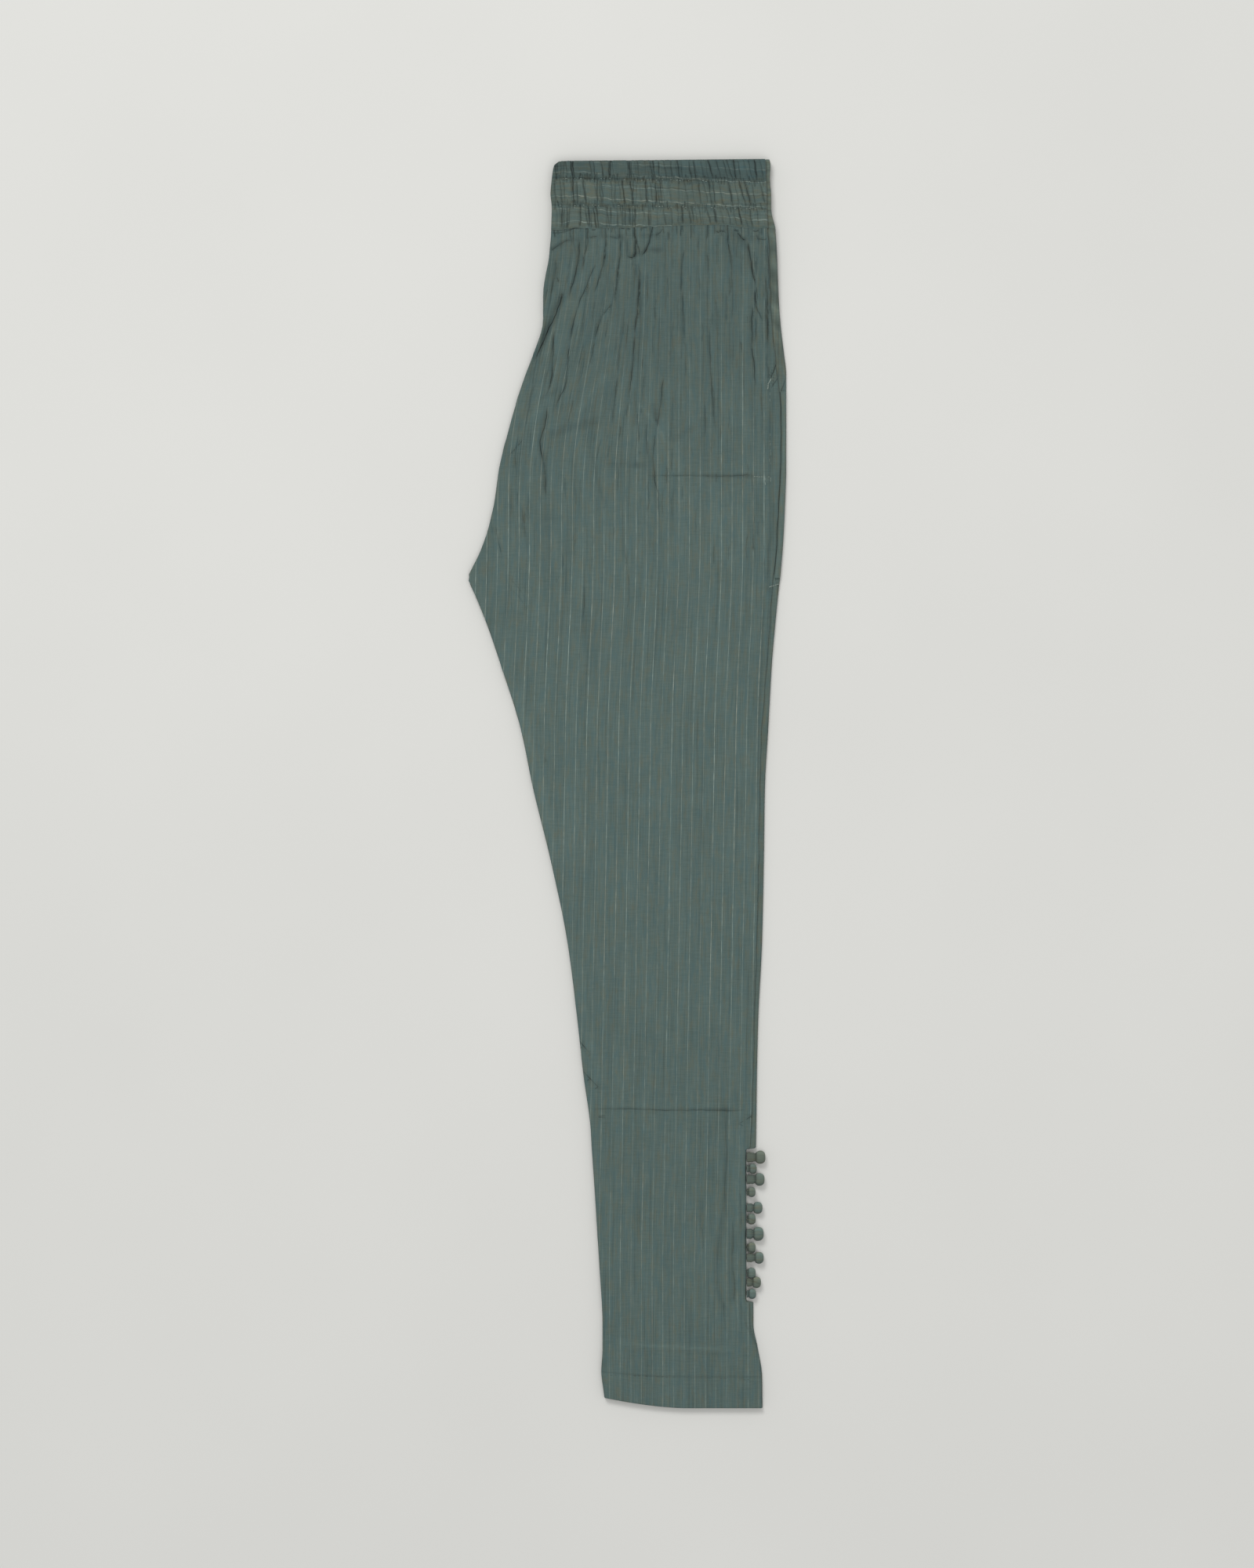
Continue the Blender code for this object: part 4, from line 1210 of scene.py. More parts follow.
def band_gathers():
    """Gathers of each elastic channel, and the crinkles along its stitching, as creases.

    A gather leans by the table's lean, varied a little, times its length, and its middle is drawn
    aside. A crinkle crosses its row of stitches at a drawn reach up and down.
    """
    draw = np.random.default_rng(BAND_SEED)
    left, right = WAIST_EDGES
    creases = []
    for (top, low), (shallow, deep) in zip(BAND_CHANNELS, BAND_GATHERS):
        for x in shallow + deep:
            start = top - draw.uniform(*BAND_GATHER_OVERRUN)
            end = low + draw.uniform(*BAND_GATHER_OVERRUN)
            lean = lookup(BAND_LEAN, BAND_LEAN_COLUMNS, "lean", x)
            lean = (lean + draw.uniform(*BAND_LEAN_VARIES)) * (end - start)
            middle = (x + draw.uniform(*BAND_GATHER_BOW), (start + end) / 2.0)
            path = ((x - lean / 2.0, start), middle, (x + lean / 2.0, end))
            if x in deep:
                depth = BAND_DEEP_GATHER * draw.uniform(*BAND_DEEP_VARIES)
            else:
                depth = draw.uniform(*BAND_GATHER_DEPTHS)
            creases.append((path, draw.uniform(*BAND_GATHER_HALF_WIDTHS), depth))
    for row in BAND_STITCH_DROPS:
        x = left + draw.uniform(*BAND_CRINKLE_STEPS)
        while x < right:
            up, down = draw.uniform(*BAND_CRINKLE_REACH, size=2)
            swing = draw.uniform(*BAND_CRINKLE_SWING)
            here = row + BAND_STITCH_SLANT * x
            path = ((x - swing, here - up), (x, here), (x + swing, here + down))
            creases.append((path, BAND_CRINKLE_HALF_WIDTH, draw.uniform(*BAND_CRINKLE_DEPTHS)))
            x += draw.uniform(*BAND_CRINKLE_STEPS)
    return creases


def band_facets(x, drop):
    """Tilt, painted light and shade, hue and stripe strength of the flat stretches between gathers, drawn
    for each.

    The tilt is a slope times the share of the way across the stretch, less a half.
    """
    draw = np.random.default_rng(BAND_SEED + 1)
    total = np.zeros((4, *x.shape))
    lean = lookup(BAND_LEAN, BAND_LEAN_COLUMNS, "lean", x)
    for (top, low), (shallow, deep) in zip(BAND_CHANNELS, BAND_GATHERS):
        stops = np.sort(WAIST_EDGES + shallow + deep)
        ranges = (BAND_FACET_TILTS, BAND_FACET_PAINTED_SHADES, BAND_FACET_HUES, BAND_FACET_STRIPES)
        slopes, *drawn = [draw.uniform(*ends, len(stops)) for ends in ranges]
        place = x - lean * (drop - (top + low) / 2.0)
        after = np.clip(np.searchsorted(stops, place), 1, len(stops) - 1)
        share = (place - stops[after - 1]) / (stops[after] - stops[after - 1]) - 0.5
        inside = ease((drop - top) / BAND_FACET_FADES_OVER) * ease((low - drop) / BAND_FACET_FADES_OVER)
        total[0] += inside * slopes[after] * np.clip(share, -0.5, 0.5)
        for kind, values in enumerate(drawn):
            total[1 + kind] += ((drop >= top) & (drop < low)) * values[after]
    return total


def band_parts(x, drop):
    """Height of the gathered quarter's outer face over its thinnest, its painted shade and light, and its
    folds.

    Each channel is crowned like a sine wave's half, raised to a power below 1 so that it is fuller.
    """
    crown = np.zeros(x.shape)
    for top, low in BAND_CHANNELS:
        inside = np.clip((drop - top) / (low - top), 0.0, 1.0)
        crown = crown + BAND_CROWN * np.sin(math.pi * inside) ** BAND_CROWN_FULLNESS
    depth, shoulder, nearest, dark = crease_field(x, drop, band_gathers())
    across = drop - BAND_STITCH_SLANT * x
    stitched = sum(bell(across - row, BAND_STITCH_HALF_WIDTH) for row in BAND_STITCH_DROPS)
    tilt, tone, _, _ = band_facets(x, drop)
    ripples = BAND_RIPPLE_HEIGHT * slow_waves(x, drop, BAND_SEED, BAND_RIPPLE_LENGTHS)
    height = crown + shoulder + tilt + ripples - depth - BAND_STITCH_DEPTH * stitched
    # Painted shade in the gathers and along the stitches, painted light and shade that differ from facet to
    # facet, and painted light on the gathers' shoulders
    shade = BAND_GATHER_SHADE * depth + BAND_STITCH_SHADE * stitched + tone
    shade = shade - BAND_SHOULDER_LIGHT * shoulder
    return height, shade, nearest, dark


def band_look(x, drop):
    """Shade holding painted shade and light, coolness, stripe strength and folds of the waistband, whose top
    channel is darker.
    """
    _, shade, nearest, dark = band_parts(x, drop)
    _, _, hue, stripes = band_facets(x, drop)
    start, over = BAND_TOP_FADES
    top_share = 1.0 - ease((drop - start) / over)
    cooler, cooler_still = BAND_TOP_COOLNESS
    start, over = BAND_TOP_COOLER_FROM
    cool = hue + BAND_COOLNESS + top_share * (cooler + cooler_still * ease((x - start) / over))
    in_fold = BAND_STRIPES_IN_FOLDS_FAINTER * dark * bell(nearest, BAND_FOLD_HALF_WIDTH)
    stripes = stripes * (1.0 - in_fold) * (1.0 - BAND_TOP_STRIPES_FAINTER * top_share)
    return shade + BAND_SHADE + BAND_TOP_SHADE * top_share, cool, stripes, nearest, dark


def ring_drops(rows, end, first_radius=EDGE_RADIUS, last_radius=EDGE_RADIUS):
    """Drops of a wall's rings: even within each stretch of rows, and closer over both rounded ends."""
    start = rows[0][0]
    turn = 1.0 - np.cos(np.linspace(0.0, math.pi / 2.0, EDGE_STEPS + 1))
    drops = [start + first_radius * turn]
    stops = [row[0] for row in rows[1:]] + [end - last_radius]
    here = start + first_radius
    for (_, step), stop in zip(rows, stops):
        count = math.ceil((stop - here) / step)
        drops.append(np.linspace(here, stop, count + 1)[1:])
        here = stop
    drops.append(end - last_radius * turn[::-1][1:])
    return np.concatenate(drops)


def section_columns(count):
    """Columns across a wall from edge to edge, as three arrays.

    A column's x is left + offset + share * (right - left). Its lift is 0 at the edge, climbs as a
    quarter circle over the edge's radius and is 1 on the face between.
    """
    turn = np.linspace(0.0, math.pi / 2.0, EDGE_STEPS + 1)
    inset = EDGE_RADIUS * (1.0 - np.cos(turn))
    shares = np.linspace(0.0, 1.0, count + 1)[1:-1]
    offset = np.concatenate((inset, EDGE_RADIUS * (1.0 - 2.0 * shares), -inset[::-1]))
    share = np.concatenate((np.zeros(len(turn)), shares, np.ones(len(turn))))
    lift = np.concatenate((np.sin(turn), np.ones(len(shares)), np.sin(turn)[::-1]))
    return offset, share, lift


def add_mesh(name, points, faces, uv, look, material):
    """A mesh object of millimetre points, with its place on the cloth and its look at each point."""
    world = np.empty((len(points), 3))
    world[:, 0] = points[:, 0] * MM
    world[:, 1] = WAIST_Y - points[:, 1] * MM
    world[:, 2] = points[:, 2] * MM
    mesh = bpy.data.meshes.new(name)
    mesh.from_pydata(world.tolist(), [], faces)
    mesh.shade_smooth()
    corners = np.empty(len(mesh.loops), np.int32)
    mesh.loops.foreach_get("vertex_index", corners)
    layer = mesh.uv_layers.new(name="cloth")
    layer.uv.foreach_set("vector", (uv[corners] * MM).astype(np.float32).ravel())
    # Each point's look holds its shade, which is mostly painted shade and light, its coolness and its stripe
    # strength; its fold marks hold the stripe strength, the distance from the nearest fold and the darkness
    # of that fold's painted shadow
    for name_of, marks in (("cloth_look", look[:, :3]), ("cloth_fold", look[:, 2:])):
        attribute = mesh.attributes.new(name_of, "FLOAT_VECTOR", "POINT")
        attribute.data.foreach_set("vector", marks.astype(np.float32).ravel())
    mesh.materials.append(material)
    piece = bpy.data.objects.new(name, mesh)
    bpy.context.scene.collection.objects.link(piece)
    return piece


def loft_faces(rings, sides):
    """Quads between closed rings of points, numbered ring by ring, and a face over each end."""
    point = np.arange(sides)
    after = (point + 1) % sides
    start = (np.arange(rings - 1) * sides)[:, None]
    quads = np.stack((start + point, start + sides + point, start + sides + after, start + after), 2)
    last = (rings - 1) * sides
    ends = [list(range(sides)), list(range(last, last + sides))[::-1]]
    return quads.reshape(-1, 4).tolist() + ends


def end_lift(drops, first_radius, last_radius):
    """How far each ring's height has opened: a quarter circle over each end's radius, 1 between.

    A sewn end, which has the tight radius, keeps its height.
    """
    lift = np.ones(len(drops))
    for radius, away in ((first_radius, drops - drops[0]), (last_radius, drops[-1] - drops)):
        opened = np.sqrt(1.0 - (1.0 - np.clip(away / radius, 0.0, 1.0)) ** 2)
        least = 1.0 if radius == SEWN_RADIUS else END_LIFT
        lift = np.minimum(lift, least + (1.0 - least) * opened)
    return lift[:, None]


def cloth_wall(name, material, drops, edges, faces, shift, grain, look, columns, ends):
    """A closed wall of cloth with rounded edges, lofted through one ring at each drop.

    Half the wall's height is scaled by the column's lift and by the ring's own quarter circle at both
    ends, and added to the middle height for the outer face or taken from it for the inner one. Faces
    are the upper and the lower one, each a function of x and drop, as shift, grain and look are.
    Columns are how many each face has, and ends are the radii of both ends.
    """
    left, right = edges
    high, low = faces
    over, back = (section_columns(count) for count in columns)
    back = [part[1:-1][::-1] for part in back]
    offset, share, lift = (np.concatenate(pair) for pair in zip(over, back))
    side = np.concatenate((np.ones(len(over[0])), -np.ones(len(back[0]))))
    x = left[:, None] + offset + share * (right - left)[:, None]
    drop = np.broadcast_to(drops[:, None], x.shape)
    top, bottom = high(x, drop), low(x, drop)
    z = (top + bottom) / 2.0 + side * lift * end_lift(drops, *ends) * (top - bottom) / 2.0
    points = np.stack((x, drop + shift(x, drop), z), 2).reshape(-1, 3)
    uv = np.stack(grain(x, drop), 2).reshape(-1, 2)
    marks = np.stack([np.broadcast_to(part, x.shape) for part in look(x, drop)], 2)
    faces = loft_faces(len(drops), x.shape[1])
    piece = add_mesh(name, points, faces, uv, marks.reshape(-1, LOOKS), material)
    for face in piece.data.polygons[-2:]:
        face.use_smooth = False
    return piece


def stitch_row(path, height, kind, thread_width):
    """Points and faces of a row of stitches: short fat threads along a bent line, at the face's height.

    Each stitch is a tube through a few rings round its own middle, thin where it dives into the cloth.
    The rougher the row, the more of its stitches are buried, and the less even the others are.
    """
    length, pitch, thickness, rough = STITCHES[kind]
    path = np.array(path, float)
    draw = np.random.default_rng(int(10.0 * path.sum()) % 1000 + 7)
    middles = np.arange(pitch / 2.0, run_of(path)[-1], pitch)
    middles = middles[draw.uniform(size=len(middles)) > rough] + draw.uniform(-0.3, 0.3) * rough
    along = places_on(path, middles + 0.5) - places_on(path, middles - 0.5)
    along = along / np.linalg.norm(along, axis=1)[:, None]
    across = np.stack((-along[:, 1], along[:, 0]), 1)
    place = places_on(path, middles) + across * draw.uniform(-rough, rough, len(middles))[:, None]
    lengths = length * draw.uniform(1.0 - rough, 1.0 + rough, len(place))
    shares, girths = np.array(STITCH_RINGS).T
    girths = girths * thickness * thread_width / 2.0
    turn = 2.0 * math.pi * np.arange(STITCH_SIDES) / STITCH_SIDES
    centre = place[:, None, :] + along[:, None, :] * (lengths[:, None] * shares)[..., None]
    ring_xy = centre[:, :, None, :] + across[:, None, None, :] * np.outer(girths, np.cos(turn))[..., None]
    ring_z = height(centre[..., 0], centre[..., 1])[..., None] + np.outer(girths, np.sin(turn))
    points = np.concatenate((ring_xy, ring_z[..., None]), 3).reshape(-1, 3)
    one = loft_faces(len(STITCH_RINGS), STITCH_SIDES)
    stride = len(STITCH_RINGS) * STITCH_SIDES
    faces = [[corner + stitch * stride for corner in face] for stitch in range(len(place)) for face in one]
    return points, faces


def thread_piece(name, rows, material):
    """One mesh of several rows of stitches."""
    points = np.concatenate([row[0] for row in rows])
    starts = np.concatenate(([0], np.cumsum([len(row[0]) for row in rows])))
    faces = [[int(corner + start) for corner in face] for row, start in zip(rows, starts) for face in row[1]]
    return add_mesh(name, points, faces, points[:, :2], np.zeros((len(points), LOOKS)), material)


def add_node(tree, kind, inputs=(), **settings):
    """Adds a shader node and returns its outputs.

    Each input is a value or another node's output, by place or by name.
    """
    node = tree.nodes.new("ShaderNode" + kind)
    for name, value in settings.items():
        setattr(node, name, value)
    named = inputs.items() if isinstance(inputs, dict) else enumerate(inputs)
    for key, value in named:
        if isinstance(value, bpy.types.NodeSocket):
            tree.links.new(value, node.inputs[key])
        else:
            node.inputs[key].default_value = value
    return node.outputs


def new_material(name):
    """A new material, its node tree and its shader."""
    material = bpy.data.materials.new(name)
    material.use_nodes = True
    tree = material.node_tree
    return material, tree, tree.nodes["Principled BSDF"]


def colour(rgb):
    """A colour socket's value: red, green and blue, with nothing let through."""
    return (*rgb, 1.0)


def slub_cotton(name, cloth):
    """Yarn-dyed plain-weave cotton with slub pin stripes, garment washed.

    The eye sees grey-green ground of unlike warp yarns that run down the cloth as fine streaks, a
    pale uneven yarn every few millimetres, faint weft slubs and no gloss. The yarns are about 0.3 mm
    thick and are drawn 0.7 mm wide, the finest that the picture can show. The colour also takes the
    painted shade and light of each point's look, and a painted shadow line along each fold.
    """
    material, tree, shader = new_material(name)
    place = add_node(tree, "UVMap", uv_map="cloth")["UV"]
    across, along, _ = add_node(tree, "SeparateXYZ", [place])
    look = add_node(tree, "Attribute", attribute_name="cloth_look")["Vector"]
    shade, cool, strength = add_node(tree, "SeparateXYZ", [look])
    fold = add_node(tree, "Attribute", attribute_name="cloth_fold")["Vector"]
    _, from_fold, fold_dark = add_node(tree, "SeparateXYZ", [fold])

    def cloth_noise(across_scale, along_scale, shift, detail):
        """Noise on the cloth, at scales in repeats for each metre across and along it."""
        inputs = [place, (across_scale, along_scale, 1.0), (shift, shift, shift)]
        vector = add_node(tree, "VectorMath", inputs, operation="MULTIPLY_ADD")[0]
        inputs = {"Vector": vector, "Scale": 1.0, "Detail": detail, "Roughness": 0.6}
        return add_node(tree, "TexNoise", inputs)["Fac"]

    # Ground: warp yarns 0.7 mm wide, bands of them 2 mm wide and faint weft slubs
    yarns = cloth_noise(1500.0, 34.0, 3.1, 1.0)
    bands = cloth_noise(460.0, 12.0, 9.4, 2.0)
    wefts = cloth_noise(110.0, 1400.0, 5.7, 1.0)
    woven = add_node(tree, "Math", [yarns, 0.54], operation="MULTIPLY")[0]
    woven = add_node(tree, "Math", [bands, 0.14, woven], operation="MULTIPLY_ADD")[0]
    woven = add_node(tree, "Math", [wefts, 0.32, woven], operation="MULTIPLY_ADD")[0]
    light = add_node(tree, "MapRange", [woven, 0.3, 0.7, 0.0, 1.0])[0]
    inputs = {"Factor": light, "A": colour(cloth.dark_yarn), "B": colour(cloth.light_yarn)}
    ground = add_node(tree, "Mix", inputs, data_type="RGBA")[2]

    # Warm and cool yarns come and go
    tint = cloth_noise(380.0, 85.0, 1.3, 2.0)
    warmth = add_node(tree, "MapRange", [tint, 0.5, 0.72, 0.0, 0.7])[0]
    warmth = add_node(tree, "Math", [warmth, cool], operation="SUBTRACT", use_clamp=True)[0]
    coolness = add_node(tree, "MapRange", [tint, 0.5, 0.28, 0.0, 0.6])[0]
    coolness = add_node(tree, "Math", [cool, coolness], operation="ADD", use_clamp=True)[0]
    for share, yarn in ((warmth, cloth.warm_yarn), (coolness, cloth.cool_yarn)):
        inputs = {"Factor": share, "A": ground, "B": colour(yarn)}
        ground = add_node(tree, "Mix", inputs, data_type="RGBA")[2]

    # Pin stripes: a slub yarn that swells, thins, wanders and changes colour along its length
    number = add_node(tree, "Math", [across, 1.0 / cloth.stripe_step], operation="MULTIPLY")[0]
    number = add_node(tree, "Math", [number], operation="ROUND")[0]

    def stripe_noise(rate, step, shift):
        """Noise along each stripe, at a rate for each metre, and unlike its neighbours' by a step."""
        u = add_node(tree, "Math", [number, step, shift], operation="MULTIPLY_ADD")[0]
        v = add_node(tree, "Math", [along, rate], operation="MULTIPLY")[0]
        vector = add_node(tree, "CombineXYZ", [u, v, shift])[0]
        return add_node(tree, "TexNoise", {"Vector": vector, "Scale": 1.0, "Detail": 2.0})["Fac"]

    wander = [stripe_noise(22.0, 3.7, 1.1), 0.0007, across]
    distance = add_node(tree, "Math", wander, operation="MULTIPLY_ADD")[0]
    distance = add_node(tree, "Math", [distance, cloth.stripe_step / 2.0], operation="PINGPONG")[0]
    swell = add_node(tree, "MapRange", [stripe_noise(95.0, 5.3, 2.3), 0.3, 0.7, 0.55, 1.2])[0]
    distance = add_node(tree, "Math", [distance, swell], operation="DIVIDE")[0]
    ends = [distance, 0.25 * cloth.stripe_width, 0.75 * cloth.stripe_width, 1.0, 0.0]
    line = add_node(tree, "MapRange", ends, interpolation_type="SMOOTHSTEP")[0]
    line = add_node(tree, "Math", [line, strength], operation="MULTIPLY")[0]
    paleness = add_node(tree, "MapRange", [stripe_noise(14.0, 2.9, 4.7), 0.32, 0.66, 0.45, 1.05])[0]
    broken = add_node(tree, "MapRange", [stripe_noise(180.0, 4.1, 8.3), 0.36, 0.64, 0.5, 1.05])[0]
    second = add_node(tree, "Math", [number, 1.0], operation="PINGPONG")[0]
    second = add_node(tree, "MapRange", [second, 0.0, 1.0, 0.78, 1.0])[0]
    for factor in (broken, second, line):
        paleness = add_node(tree, "Math", [paleness, factor], operation="MULTIPLY")[0]
    brown = add_node(tree, "MapRange", [stripe_noise(9.0, 7.1, 6.1), 0.46, 0.68, 0.0, 0.8])[0]
    inputs = {"Factor": brown, "A": colour(cloth.pale_slub), "B": colour(cloth.warm_slub)}
    slub = add_node(tree, "Mix", inputs, data_type="RGBA")[2]
    inputs = {"Factor": paleness, "A": ground, "B": slub}
    striped = add_node(tree, "Mix", inputs, data_type="RGBA")[2]

    # Slow patches of wash wear, darker yarns, the painted shade and light of each point's look, and a
    # painted shadow line along the folds
    wear_and_shade = add_node(tree, "MapRange", [cloth_noise(90.0, 12.0, 7.9, 3.0), 0.3, 0.7, 0.94, 1.06])[0]
    dark_yarns = cloth_noise(620.0, 9.0, 12.3, 1.0)
    dark_yarns = add_node(tree, "MapRange", [dark_yarns, 0.6, 0.72, 0.0, 0.16])[0]
    away = add_node(tree, "Math", [from_fold], operation="ABSOLUTE")[0]
    ends = [away, 0.12, 0.62, 0.46, 0.0]
    fold_shadow_line = add_node(tree, "MapRange", ends, interpolation_type="SMOOTHSTEP")[0]
    fold_shadow_line = add_node(tree, "Math", [fold_shadow_line, fold_dark], operation="MULTIPLY")[0]
    for loss in (dark_yarns, shade, fold_shadow_line):
        wear_and_shade = add_node(tree, "Math", [wear_and_shade, loss], operation="SUBTRACT")[0]
    grey = add_node(tree, "CombineXYZ", [wear_and_shade, wear_and_shade, wear_and_shade])[0]
    worn_and_shaded = add_node(tree, "VectorMath", [striped, grey], operation="MULTIPLY")[0]
    tree.links.new(worn_and_shaded, shader.inputs["Base Color"])

    # Yarns stand up by about a tenth of a millimetre
    raised = add_node(tree, "Math", [line, 0.35, woven], operation="MULTIPLY_ADD")[0]
    bump = add_node(tree, "Bump", {"Strength": 0.55, "Distance": 0.00025, "Height": raised})
    tree.links.new(bump["Normal"], shader.inputs["Normal"])
    set_finish(shader, {"Roughness": 0.9, "Specular IOR Level": 0.25})
    set_finish(shader, {"Sheen Weight": 0.12, "Sheen Roughness": 0.5})
    return material


def set_finish(shader, numbers):
    """Sets the shader's own sockets."""
    for name, value in numbers.items():
        shader.inputs[name].default_value = value


def mottled_colour(tree, light, dark_share, scale, detail, ends):
    """A colour and a darker one, mixed by noise over the piece between the two ends of its range."""
    inputs = {"Vector": add_node(tree, "TexCoord")["Object"], "Scale": scale, "Detail": detail}
    noise = add_node(tree, "TexNoise", inputs)["Fac"]
    share = add_node(tree, "MapRange", [noise, *ends, 0.0, 1.0])[0]
    inputs = {"Factor": share, "A": colour([dark_share * part for part in light]), "B": colour(light)}
    return add_node(tree, "Mix", inputs, data_type="RGBA")[2]


def sewing_thread(name, light):
    """Spun polyester thread: a plain colour near the cloth's, with a twist too fine to draw."""
    material, tree, shader = new_material(name)
    tint = mottled_colour(tree, light, 0.75, 900.0, 1.0, (0.35, 0.65))
    tree.links.new(tint, shader.inputs["Base Color"])
    set_finish(shader, {"Roughness": 0.6, "Specular IOR Level": 0.4})
    return material


def floor_paint(name, stage):
    """Matte painted board: pale, even and without gloss, a little uneven in tone."""
    material, tree, shader = new_material(name)
    tint = mottled_colour(tree, stage.floor_colour, 0.97, 3.0, 3.0, (0.3, 0.7))
    tree.links.new(tint, shader.inputs["Base Color"])
    set_finish(shader, {"Roughness": 0.95, "Specular IOR Level": 0.2})
    return material


def cotton(context):
    """The cloth's one material, made when it is first asked for."""
    found = bpy.data.materials.get("washed_slub_cotton")
    return found or slub_cotton("washed_slub_cotton", context.scene.pants_cloth)


def thread(context):
    """The thread's one material, made when it is first asked for."""
    found = bpy.data.materials.get("polyester_thread")
    return found or sewing_thread("polyester_thread", context.scene.pants_cloth.thread)


def settle(piece, slot, *nodes):
    """Ties a piece to the body and hides the solids that it stands for; the slot for its finish is not used.
    """
    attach(piece, "root")
    if nodes:
        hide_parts(*nodes)


def plain_look(x, drop):
    """The look of cloth that shows only as a smooth edge: a little lighter, warm and unstriped."""
    return *PLAIN_TONE, 0.0, FAR, 0.0


def wobble(drop, seed, most):
    """A small uneven inset down an edge, about half the most, and slow waves about it."""
    return most * (WOBBLE_MIDDLE + WOBBLE_SWING * slow_waves(drop, 0.0 * drop, seed))


def level(height):
    """A flat face, at one height whatever x and drop are."""
    return lambda x, drop: height


def leg_layer(context, name, node, drops, edges, faces, look, columns):
    """A leg panel, sewn on at the waist, between two edges and from its upper to its lower face."""
    ends = (SEWN_RADIUS, EDGE_RADIUS)
    piece = cloth_wall(name, cotton(context), drops, edges, faces, sway, leg_grain, look, columns, ends)
    settle(piece, "striped_cotton", node)


def band_layer(context, name, node, drops, edges, faces, shift, look, columns):
    """A quarter of the waistband, sewn to the legs at its lower end."""
    ends = (EDGE_RADIUS, SEWN_RADIUS)
    piece = cloth_wall(name, cotton(context), drops, edges, faces, shift, band_grain, look, columns, ends)
    settle(piece, "gathered_waistband", node)


def back_middle(x, drop):
    """Height halfway up the two hidden back panels, where they meet."""
    return (PANEL_WALL + GAP + core_top(drop)) / 2.0


def back_look(x, drop):
    """The look of the back panels, whose edge shows past the panel on top and has painted shade of puckers
    high up.
    """
    folded_over = outline(LEG_OUTLINE, "right_upper", drop) - BACK_COVERED
    start, over = BACK_PUCKER_ENDS
    high_up = 1.0 - ease((drop - start) / over)
    puckers = slow_waves(x, drop, BACK_PUCKER_SEED, BACK_PUCKER_LENGTHS, BACK_PUCKER_SWING)
    cool, cooler_high_up = BACK_COOLNESS
    stripes = 1.0 - ease((x - folded_over) / BACK_STRIPES_OVER)
    return BACK_PUCKER_SHADE * puckers * high_up + BACK_SHADE, cool + cooler_high_up * high_up, stripes, FAR, 0.0


def pinch(x, drop, seed):
    """How far a hidden waistband quarter is pinched in at its gathers: two uneven waves across it."""
    wander, over = PINCH_WANDER
    broad = np.sin(2.0 * math.pi * x / PINCH_STEP + seed + wander * np.sin(x / over) + PINCH_LEAN * drop)
    fine = np.sin(x / PINCH_FINE_OVER + seed)
    return PINCH_DEPTH * np.clip(PINCH_SHARES[0] * broad + PINCH_SHARES[1] * fine, 0.0, 1.0)


def pinched_sway(x, drop, seed):
    """The garment's sway, with the top edge lower at each pinch and everywhere but at the side seam."""
    start, over = HIDDEN_BAND_LOWER_TO
    lower = HIDDEN_BAND_LOWER * ease((start - x) / over) + pinch(x, 0.0 * drop, seed)
    return sway(x, drop) + lower * (1.0 - ease(drop / BAND_EDGE_REACH))


def pinched_look(x, drop, seed):
    """The look of a hidden waistband quarter: smooth, warm, with painted light over it, and painted shade in
    waves from the pinch's formula with drop and x swapped.
    """
    painted_light, coolness = HIDDEN_BAND_LIGHT_AND_HUE
    return PINCH_SHADE * pinch(drop, x, seed) + painted_light, coolness, 0.0, FAR, 0.0


class PANTS_OT_left_leg_front(bpy.types.Operator):
    """Makes the left front panel, which lies on top with its stripes, gathers, creases and hem"""

    bl_idname = "pants.left_leg_front"
    bl_label = "Left leg front"

    def execute(self, context):
        drops = ring_drops(LEG_ROWS, LENGTH, SEWN_RADIUS)
        left = outline(LEG_OUTLINE, "left", drops) + wobble(drops, 31, 0.5)
        right = outline(LEG_OUTLINE, "right_upper", drops) - wobble(drops, 33, 0.9)
        faces = (leg_front_top, lambda x, drop: core_top(drop) + GAP)
        columns = (context.scene.pants_shape.columns, INNER_COLUMNS)
        name, node = "left_leg_front", "left_front_panel"
        leg_layer(context, name, node, drops, (left, right), faces, leg_front_look, columns)
        return {"FINISHED"}


class PANTS_OT_leg_backs(bpy.types.Operator):
    """Makes the two hidden back panels, which show as soft layered edges"""

    bl_idname = "pants.leg_backs"
    bl_label = "Leg backs"

    def execute(self, context):
        drops = ring_drops(PLAIN_ROWS, LENGTH, SEWN_RADIUS)
        left = outline(LEG_OUTLINE, "left", drops)
        upper = outline(LEG_OUTLINE, "right_upper", drops)
        lower = outline(LEG_OUTLINE, "right_lower", drops)
        pocket_top, pocket_low = POCKET_DROPS
        past_pocket = 1.0 - ease((drops - pocket_top) / BACK_POCKET_OVER + 1.0)
        past_pocket = past_pocket + ease((drops - pocket_low) / BACK_POCKET_OVER)
        upper = upper + (lower - upper) * past_pocket - BACK_EDGE_SHORT * past_pocket

        def over_middle(x, drop):
            return back_middle(x, drop) + GAP / 2.0

        def under_middle(x, drop):
            return back_middle(x, drop) - GAP / 2.0

        layers = (
            ("left_leg_back", upper, lambda x, drop: core_top(drop), over_middle, 41),
            ("right_leg_back", lower, under_middle, level(PANEL_WALL + GAP), 42),
        )
        for name, right, high, low, seed in layers:
            edges = (left + wobble(drops, seed, 0.8), right)
            node, columns = "folded_back_panels", HIDDEN_LEG_COLUMNS
            leg_layer(context, name, node, drops, edges, (high, low), back_look, columns)
        return {"FINISHED"}


